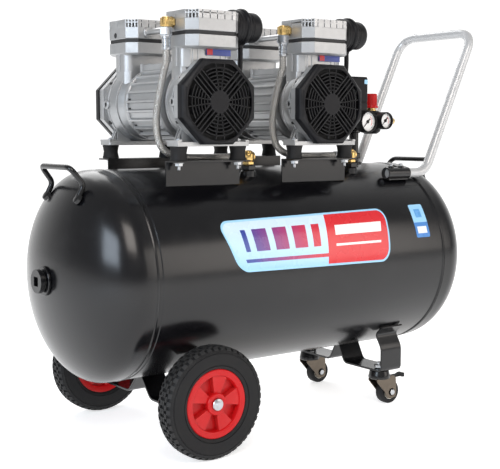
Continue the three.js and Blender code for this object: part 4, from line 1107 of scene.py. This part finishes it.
def outlet_line(tag, x):
    drop_x = x - HEAD_W / 2 - 14.6
    y = -95
    top = Vector((drop_x, y, PORT_Z - 48.3))
    brass = [turned([(0, drop_x - 4), (7, drop_x - 4), (9, drop_x - 1), (9, drop_x + 8), (6.5, drop_x + 9),
        (6.5, drop_x + 14.2), (0, drop_x + 14.2)], "x", (0, y, PORT_Z), 40)]
    brass.append(hexagon(18, "x", (0, y, PORT_Z), drop_x + 8.6, drop_x + 14.2))
    brass.append(turned([(0, -9), (8, -9), (8.6, -7), (8.6, 6), (7.4, 8.6), (4, 9.8), (0, 10)], "z",
        (drop_x, y, PORT_Z), 40))
    brass.append(moved(box(-7.6, 7.6, -7.6, 7.6, -7.2, 7.2), at(drop_x, y, PORT_Z)))
    piece(f"elbow_{tag}", joined(*brass), BRASS, bevel=0.8, replaces=[f"outlet_elbow_{tag}"])
    nut = joined(hexagon(21, "z", (drop_x, y, PORT_Z), -23.5, -8.6),
        turned([(0, -25.5), (9.4, -25.5), (9.9, -24.5), (9.9, -22), (0, -22)], "z", (drop_x, y, PORT_Z), 40))
    piece(f"hose_nut_{tag}", nut, ZINC, bevel=0.3)
    sleeve = [(0, -48), (7.6, -48), (7.8, -47), (7.8, -43.4), (7.1, -42.8), (7.1, -41.8), (7.8, -41.2),
        (7.8, -37.6), (7.1, -37), (7.1, -36), (7.8, -35.4), (7.8, -31.8), (7.1, -31), (7.1, -29.4),
        (8.2, -28.6), (8.2, -25), (0, -25)]
    piece(f"hose_sleeve_{tag}", turned(sleeve, "z", (drop_x, y, PORT_Z), 48), ZINC)
    route = smooth_route([Vector(p) + top for p in HOSE_POINTS], 110)
    piece(f"hose_{tag}", swept(route, 6.45, 24), BRAID, normals=False, replaces=[f"braided_hose_{tag}"])

    low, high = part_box(f"check_valve_{tag}")
    vx = x + 126.5
    vy = -68.4
    base = low.z / MM
    port_z = (low.z / MM) + 26.4
    end_x = route[-1].x + 0.3
    tip = high.z / MM - base
    body = [(0, 11), (9, 11), (9, 15), (8.2, 16), (8.2, 18), (11.4, 19.4), (11.9, 21), (11.9, 30),
        (11.2, 32), (9, 34), (8.6, 36), (6, tip - 0.4), (0, tip)]
    arm = [(0, end_x + 9), (7.4, end_x + 9), (7.4, vx - 9), (9.2, vx - 8), (9.2, vx + 10.6), (7.6, vx + 12),
        (0, vx + 12.4)]
    valve = joined(turned(body, "z", (vx, vy, base), 48), turned(arm, "x", (0, vy, port_z), 40),
        hexagon(20, "z", (vx, vy, base), 10.4, 17.4))
    piece(f"valve_{tag}", valve, BRASS, bevel=0.4, replaces=[f"check_valve_{tag}"])
    ends = [(0, end_x - 14), (7.3, end_x - 14), (7.6, end_x - 13), (7.6, end_x - 9), (7.0, end_x - 8.4),
        (7.0, end_x - 7.6), (7.6, end_x - 7), (7.6, end_x - 0.2), (8.0, end_x), (8.0, end_x + 2),
        (0, end_x + 2)]
    piece(f"hose_end_{tag}", joined(turned(ends, "x", (0, vy, port_z), 40),
        hexagon(15.6, "x", (0, vy, port_z), end_x + 0.4, end_x + 9.6)), ZINC)
    piece(f"valve_nut_{tag}", hexagon(26, "z", (vx, vy, base), 0.2, 10.6), BLACK_COAT)
    piece(f"valve_boss_{tag}", turned([(0, -12), (15, -12), (15, -1), (14, -0.2), (0, -0.2)], "z",
        (vx, vy, base), 48), BLACK_COAT)


def transfer_tube(tag, x):
    tube = rod(5.6, -54.4, 54.4, "y", (x - 19, 0, PORT_Z - 4), 32)
    rings = [turned([(0, s * 54.6), (9.5, s * 54.6), (9.5, s * 50.4), (8.4, s * 49.4), (0, s * 49.4)], "y",
        (x - 19, 0, PORT_Z - 4), 40) for s in (-1, 1)]
    piece(f"transfer_tube_{tag}", joined(tube, *rings), MACHINED)


def unit_plate(tag, x):
    """Plain two-colour plate on the neck, with no marks."""
    face = -127.7
    z = DECK_TOP - 28
    outline = rounded([(x - 4, z - 6.5), (x + 44, z - 6.5), (x + 44, z + 6.5), (x - 8, z + 6.5),
        (x - 8, z - 6.5), (x - 4, z - 6.5)], 1, 2)[:-1]
    piece(f"unit_plate_{tag}", plate(outline, face, face + 1.4, "y"), LABEL_BLUE)
    red = plate([(x - 7.2, z - 5.7), (x + 5, z - 5.7), (x + 5, z + 5.7), (x - 7.2, z + 5.7)], face - 0.15,
        face + 0.5, "y")
    piece(f"unit_plate_red_{tag}", red, LABEL_RED)


def flat_print(name, color, light, gloss=0.34):
    """Printed vinyl: an even colour, faintly mottled and rubbed."""
    vinyl = Bench(name, color, gloss)
    patch = vinyl.noise(18, 4)
    vinyl.feed("Base Color", vinyl.blend(color, light, patch))
    vinyl.feed("Roughness", patch * 0.14 + gloss - 0.08)
    vinyl.bump(vinyl.noise(500, 2), 0.04, 0.0003)
    return vinyl.material


LABEL_BLUE = flat_print("label_blue", (0.03, 0.06, 0.32), (0.045, 0.08, 0.38))
LABEL_RED = flat_print("label_red", (0.66, 0.02, 0.03), (0.74, 0.03, 0.04))
LABEL_SKY = flat_print("label_sky", (0.30, 0.60, 0.86), (0.38, 0.68, 0.92))
DIAL_WHITE = flat_print("dial_white", (0.84, 0.85, 0.85), (0.9, 0.9, 0.9), 0.4)

for tag, x in UNITS.items():
    intake(tag, x)
    outlet_line(tag, x)
    transfer_tube(tag, x)
    unit_plate(tag, x)


# ---- Control group ----

BOX_X = (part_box("pressure_switch")[1].x - TANK_X) / MM - 27
PIPE_X = BOX_X + 8
CONTROL_Z = (middle("coupler_collar").z) / MM
REGULATOR_X = (middle("regulator_knob").x - TANK_X) / MM


def controls():
    pipe_low = TANK_Z + TANK_R + 4.3
    parts = [rod(10, pipe_low, CONTROL_Z - 15, "z", (PIPE_X, 0, 0), 32),
        hexagon(26, "z", (PIPE_X, 0, 0), pipe_low + 6, pipe_low + 18),
        hexagon(25, "z", (PIPE_X, 0, 0), CONTROL_Z - 26, CONTROL_Z - 15)]
    piece("riser", joined(*parts), BLACK_COAT, bevel=0.3)
    piece("riser_boss", turned([(0, pipe_low - 8), (17, pipe_low - 8), (17, pipe_low - 1.2),
        (16, pipe_low - 0.3), (0, pipe_low - 0.3)], "z", (PIPE_X, 0, 0), 48), BLACK_COAT)
    block = [box(PIPE_X - 22, PIPE_X + 22, -18, 18, CONTROL_Z - 15, CONTROL_Z + 22.6),
        turned([(0, 18), (7, 18), (7, 28), (6, 29), (6, 33), (3.4, 34), (0, 34)], "y",
        (PIPE_X - 8, 0, CONTROL_Z + 4), 32)]
    piece("manifold", joined(*block), BLACK_PLASTIC, bevel=1.5)
    base = CONTROL_Z + 23
    outline = rounded([(BOX_X - 20, -25), (BOX_X + 27, -25), (BOX_X + 27, 25), (BOX_X - 27, 25),
        (BOX_X - 27, -25), (BOX_X - 20, -25)], 8, 5)[:-1]
    seam = [(BOX_X + (p - BOX_X) * 0.965, q * 0.965) for p, q in outline]
    top = [(BOX_X + (p - BOX_X) * 0.93, q * 0.93) for p, q in outline]
    shell = chamfered_prism([(outline, base - 1), (outline, base + 14), (seam, base + 14.6),
        (seam, base + 16.4), (outline, base + 17), (outline, base + 64), (seam, base + 67.6),
        (top, base + 68.9)], "z")
    gland = turned([(0, 24), (10.5, 24), (10.5, 29), (9, 30), (9, 37), (7, 39), (3.6, 39), (3.6, 37),
        (0, 37)], "y", (BOX_X + 12, 0, base + 16), 24)
    piece("switch_box", joined(shell, gland), BLACK_PLASTIC, replaces=["pressure_switch"])
    mark = rounded([(BOX_X + 14, base + 54), (BOX_X + 23, base + 54), (BOX_X + 23, base + 63),
        (BOX_X + 14, base + 63), (BOX_X + 14, base + 54)], 1.5, 3)[:-1]
    piece("switch_mark", plate(mark, -25.5, -24.6, "y"), LABEL_SKY)
    screws = [turned([(0, 67.4), (3.4, 67.4), (3.2, 68.9), (1.4, 69), (1.4, 68), (0, 68)], "z",
        (BOX_X + u, v, base), 24) for u, v in ((-19, -17), (19, 17))]
    piece("switch_screws", joined(*screws), ZINC)

    knob_y = 25.3
    dial = turned([(0, knob_y), (13, knob_y), (13, knob_y + 5), (12, knob_y + 8), (0, knob_y + 8)], "y",
        (BOX_X - 4, 0, base + 44), 48)
    grip = box(BOX_X - 8, BOX_X, knob_y + 7, knob_y + 15, base + 32, base + 56)
    piece("switch_dial", joined(dial, grip), RED_PLASTIC, "switch_dial", bevel=1.2, replaces=["switch_knob"])
    stem = turned([(0, 31), (3, 31), (3, 38), (0, 39)], "y", (PIPE_X - 8, 0, CONTROL_Z + 4), 24)
    loop = turned([(6.7 + 1.25 * math.cos(a),
        1.25 * math.sin(a)) for a in [k * math.pi / 6 for k in range(13)]], "x",
        (PIPE_X - 8, 45, CONTROL_Z + 4), 48)
    piece("pull_ring", joined(stem, loop), ZINC, "relief_pull", replaces=["relief_ring"])

    low = CONTROL_Z - 22
    bowl = [(0, low - 6), (12, low - 6), (15, low - 5), (20.4, low - 0.5), (21, low + 2), (21, low + 8),
        (20.2, low + 9), (20.2, low + 10.4), (21, low + 11.4), (21, low + 38), (20, low + 40.6),
        (16, low + 43.6), (0, low + 43.6)]
    inlet = rod(10, PIPE_X + 22.3, REGULATOR_X, "x", (0, 0, CONTROL_Z), 32)
    piece("regulator", joined(turned(bowl, "z", (REGULATOR_X, 0, 0), 64), inlet), BLACK_PLASTIC, bevel=0.3,
        replaces=["regulator_body"])
    out = REGULATOR_X + 29
    coupler = [(0, out - 9), (9, out - 9), (9, out), (8.4, out + 0.8), (6.4, out + 1.6), (6.4, out + 37),
        (5.8, out + 38), (4.1, out + 38), (4.1, out + 8), (0, out + 8)]
    piece("coupler", joined(turned(coupler, "x", (0, 0, CONTROL_Z), 48),
        hexagon(19, "x", (0, 0, CONTROL_Z), out - 8, out)), BRASS)
    sleeve = [(6.9, out + 9.1), (10, out + 9.1), (10.9, out + 10), (10.9, out + 13), (10.1, out + 13.8),
        (10.9, out + 14.6), (10.9, out + 17), (10.1, out + 17.8), (10.9, out + 18.6), (10.9, out + 28),
        (10, out + 28.9), (6.9, out + 28.9), (6.9, out + 9.1)]
    piece("coupler_sleeve", turned(sleeve, "x", (0, 0, CONTROL_Z), 64), ZINC, "collar",
        replaces=["coupler_collar"])
    neck = [(0, low + 43.4), (11.5, low + 43.4), (11.5, low + 46), (9.6, low + 46.6), (9.6, low + 49),
        (0, low + 49)]
    piece("regulator_neck", turned(neck, "z", (REGULATOR_X, 0, 0), 48), BRASS)
    base = low + 49.3
    cap = [(0, 0.1), (15.4, 0.1), (15.4, 4), (14.6, 5.4), (12.2, 6), (12.2, 29.4), (11.4, 30.6), (10, 31),
        (0, 31)]
    knob = [turned(cap, "z", (REGULATOR_X, 0, base), 64)]
    for k in range(26):
        turn = Matrix.Rotation(2 * math.pi * k / 26, 4, "Z")
        knob.append(moved(box(11.6, 13, -0.75, 0.75, 5.6, 29.6), at(REGULATOR_X, 0, base) @ turn))
    piece("pressure_knob", joined(*knob), RED_PLASTIC, "pressure_dial", bevel=0.25,
        replaces=["regulator_knob"])


def gauge(name, x, z, radius, back):
    face = 42.0
    case = [(0, -back), (6, -back), (6, -26), (radius - 3, -27), (radius, -29), (radius, -46.6),
        (radius - 0.8, -48.4), (radius - 1.8, -49), (radius - 2.6, -48.2), (radius - 2.8, -face), (0, -face)]
    piece(f"gauge_case_{name}", turned(case, "y", (x, 0, z), 64), BLACK_PLASTIC, replaces=[f"gauge_{name}"])
    dial = [(0, -face + 0.5), (radius - 2.7, -face + 0.5), (radius - 2.7, -face - 0.3), (0, -face - 0.3)]
    piece(f"dial_{name}", turned(dial, "y", (x, 0, z), 64), DIAL_WHITE)
    marks = []
    count = 41
    spot = at(x, 0, z)
    for k in range(count):
        turn = Matrix.Rotation(math.radians(-135 + 270 * k / (count - 1)), 4, "Y")
        inner = radius * (0.66 if k % 5 == 0 else 0.73)
        wide = 0.38 if k % 5 == 0 else 0.2
        marks.append(moved(box(-wide, wide, -face - 0.42, -face - 0.2, inner, radius * 0.8), spot @ turn))
    piece(f"dial_marks_{name}", joined(*marks), SOFT_BLACK, smooth=False)
    arc = []
    for r in (radius * 0.52, radius * 0.57):
        turns = [math.radians(-38 + 96 * k / 20) for k in range(21)]
        points = [(x + r * math.cos(t), z + r * math.sin(t)) for t in turns]
        arc = points if not arc else arc + points[::-1]
    piece(f"dial_arc_{name}", plate(arc, -face - 0.45, -face - 0.2, "y"), LABEL_RED)
    hand = [(-radius + 6, -0.25), (-2.5, -0.8), (9, -1.25), (9, 1.25), (-2.5, 0.8), (-radius + 6, 0.25)]
    needle = moved(plate(hand, -face - 2.1, -face - 1.0, "y"),
        spot @ Matrix.Rotation(math.radians(-45), 4, "Y"))
    hub = rod(3.4, -face - 2.1, -face - 0.7, "y", (x, 0, z), 32)
    piece(f"hand_{name}", joined(needle, hub), SOFT_BLACK, f"needle_{name}",
        replaces=[f"gauge_needle_{name}"])


controls()
for name in ("tank", "outlet"):
    low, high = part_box(f"gauge_{name}")
    centre_x = (middle(f"gauge_{name}").x - TANK_X) / MM
    gauge(name, centre_x, middle(f"gauge_{name}").z / MM, (high.x - low.x) / 2 / MM, -high.y / MM)


def drain():
    x = (middle("drain_tap").x - TANK_X) / MM
    under = TANK_Z - TANK_R
    piece("drain_boss", pipe(5.3, 12, under - 4.8, under + 2, "z", (x, 0, 0), 32), BLACK_COAT)
    body = [(0, under - 17), (8, under - 17), (9, under - 16), (9, under - 6), (8.6, under - 5.4),
        (4.6, under - 5.3), (4.6, under + 2), (0, under + 2)]
    wing = plate(rounded([(x - 5, under - 16), (x - 14, under - 20), (x - 14, under - 29),
        (x + 14, under - 29), (x + 14, under - 20), (x + 5, under - 16), (x - 5, under - 16)], 3, 3)[:-1],
        -2, 2, "y")
    piece("drain_wing_tap", joined(turned(body, "z", (x, 0, 0), 40), wing), BRASS, "tap", bevel=0.4,
        replaces=["drain_tap"])


drain()


# ---- Printed panels on the tank ----

def curved_patch(name, corners, material, lift, corner_radius, rows=20, columns=60):
    """A thin printed sheet on the barrel. Corners are (x, degrees from the top towards the front)."""
    top_left, top_right, low_right, low_left = [Vector(c) for c in corners]
    width = (top_right - top_left).x
    height = math.radians(abs(top_left.y - low_left.y)) * TANK_R
    bm = bmesh.new()
    spread = bm.loops.layers.uv.new("panel")
    grid = []
    for i in range(rows + 1):
        v = i / rows
        v = 0.5 - 0.5 * math.cos(math.pi * v)
        reach = max(0.0, corner_radius - min(v, 1 - v) * height)
        inset = (corner_radius - math.sqrt(max(0, corner_radius ** 2 - reach ** 2))) / width
        line = []
        for j in range(columns + 1):
            u = inset + (1 - 2 * inset) * j / columns
            low = low_left.lerp(low_right, u)
            spot = low.lerp(top_left.lerp(top_right, u), v)
            turn = math.radians(spot.y)
            r = TANK_R + lift
            line.append((bm.verts.new((spot.x, -r * math.sin(turn), TANK_Z + r * math.cos(turn))), (u, v)))
        grid.append(line)
    for low, high in zip(grid, grid[1:]):
        for a, b, c, d in zip(low, low[1:], high[1:], high):
            face = bm.faces.new((a[0], b[0], c[0], d[0]))
            for loop, corner in zip(face.loops, (a, b, c, d)):
                loop[spread].uv = corner[1]
    bmesh.ops.recalc_face_normals(bm, faces=bm.faces)
    bmesh.ops.solidify(bm, geom=bm.faces[:], thickness=0.12)
    return piece(name, bm, material)


def panel_print():
    """Sky-blue and red fields with plain slanted bars: colour only, no marks."""
    ink = Bench("panel_print", (0.4, 0.6, 0.85), 0.3, Coat_Weight=0.3, Coat_Roughness=0.12)
    u, v, _ = ink.axes(ink.node("ShaderNodeUVMap", {"uv_map": "panel"}))
    lean = u - v * 0.045
    sky = ink.blend((0.34, 0.62, 0.88), (0.62, 0.78, 0.93), ink.band(v + u * 0.4, 0.1, 0.9))
    deep = ink.blend((0.02, 0.05, 0.30), (0.60, 0.015, 0.04), ink.band(u, 0.10, 0.52))
    bars = (lean.modulo(0.118) < 0.082) * (lean > 0.055) * (lean < 0.52) * (v > 0.36) * (v < 0.82)
    stripe = (v > 0.14) * (v < 0.21) * (u > 0.05) * (u < 0.95)
    left = ink.blend(sky, deep, bars.high(stripe))
    red = ink.blend((0.62, 0.010, 0.018), (0.70, 0.02, 0.03), ink.noise(9, 3))
    pale = (lean > 0.62) * (lean < 0.93) * (v > 0.56) * (v < 0.76)
    thin = (lean > 0.62) * (lean < 0.93) * (v > 0.34) * (v < 0.385)
    right = ink.blend(red, (0.86, 0.87, 0.88), pale.high(thin))
    field = ink.blend(left, right, lean > 0.565)
    ink.feed("Base Color", ink.blend(field, (0.72, 0.72, 0.72),
        ink.band(ink.noise(60, 5, 0.7), 0.7, 0.9) * 0.2))
    ink.feed("Roughness", ink.noise(30, 3) * 0.14 + 0.2)
    ink.bump(ink.noise(400, 2), 0.03, 0.0003)
    return ink.material


PANEL = ((-209.6, 58), (200.7, 55.7), (189.5, 88.3), (-176.4, 86.5))
curved_patch("panel_border", PANEL, LABEL_SKY, 0.30, 24)
PANEL_FACE = ((-205.6, 59.2), (196.9, 56.9), (185.8, 87.1), (-173.0, 85.3))
curved_patch("panel_face", PANEL_FACE, panel_print(), 0.42, 21)


def small_print():
    ink = Bench("small_print", (0.4, 0.6, 0.85), 0.3)
    u, v, _ = ink.axes(ink.node("ShaderNodeUVMap", {"uv_map": "panel"}))
    lower = v < 0.44
    pale = (v > 0.12) * (v < 0.32) * (u > 0.16) * (u < 0.84)
    field = ink.blend((0.33, 0.63, 0.90), (0.05, 0.22, 0.58), lower)
    spot = (abs(u - 0.5) < 0.22) * (abs(v - 0.72) < 0.13)
    field = ink.blend(ink.blend(field, (0.80, 0.86, 0.92), pale), (0.12, 0.36, 0.72), spot)
    ink.feed("Base Color", ink.blend(field, (0.7, 0.7, 0.7), ink.band(ink.noise(60, 5, 0.7), 0.7, 0.9) * 0.2))
    ink.feed("Roughness", ink.noise(30, 3) * 0.14 + 0.2)
    ink.bump(ink.noise(400, 2), 0.03, 0.0003)
    return ink.material


curved_patch("small_panel", ((270, 54.8), (308, 54.6), (308, 76), (270, 76)), small_print(), 0.3, 3, 12, 12)
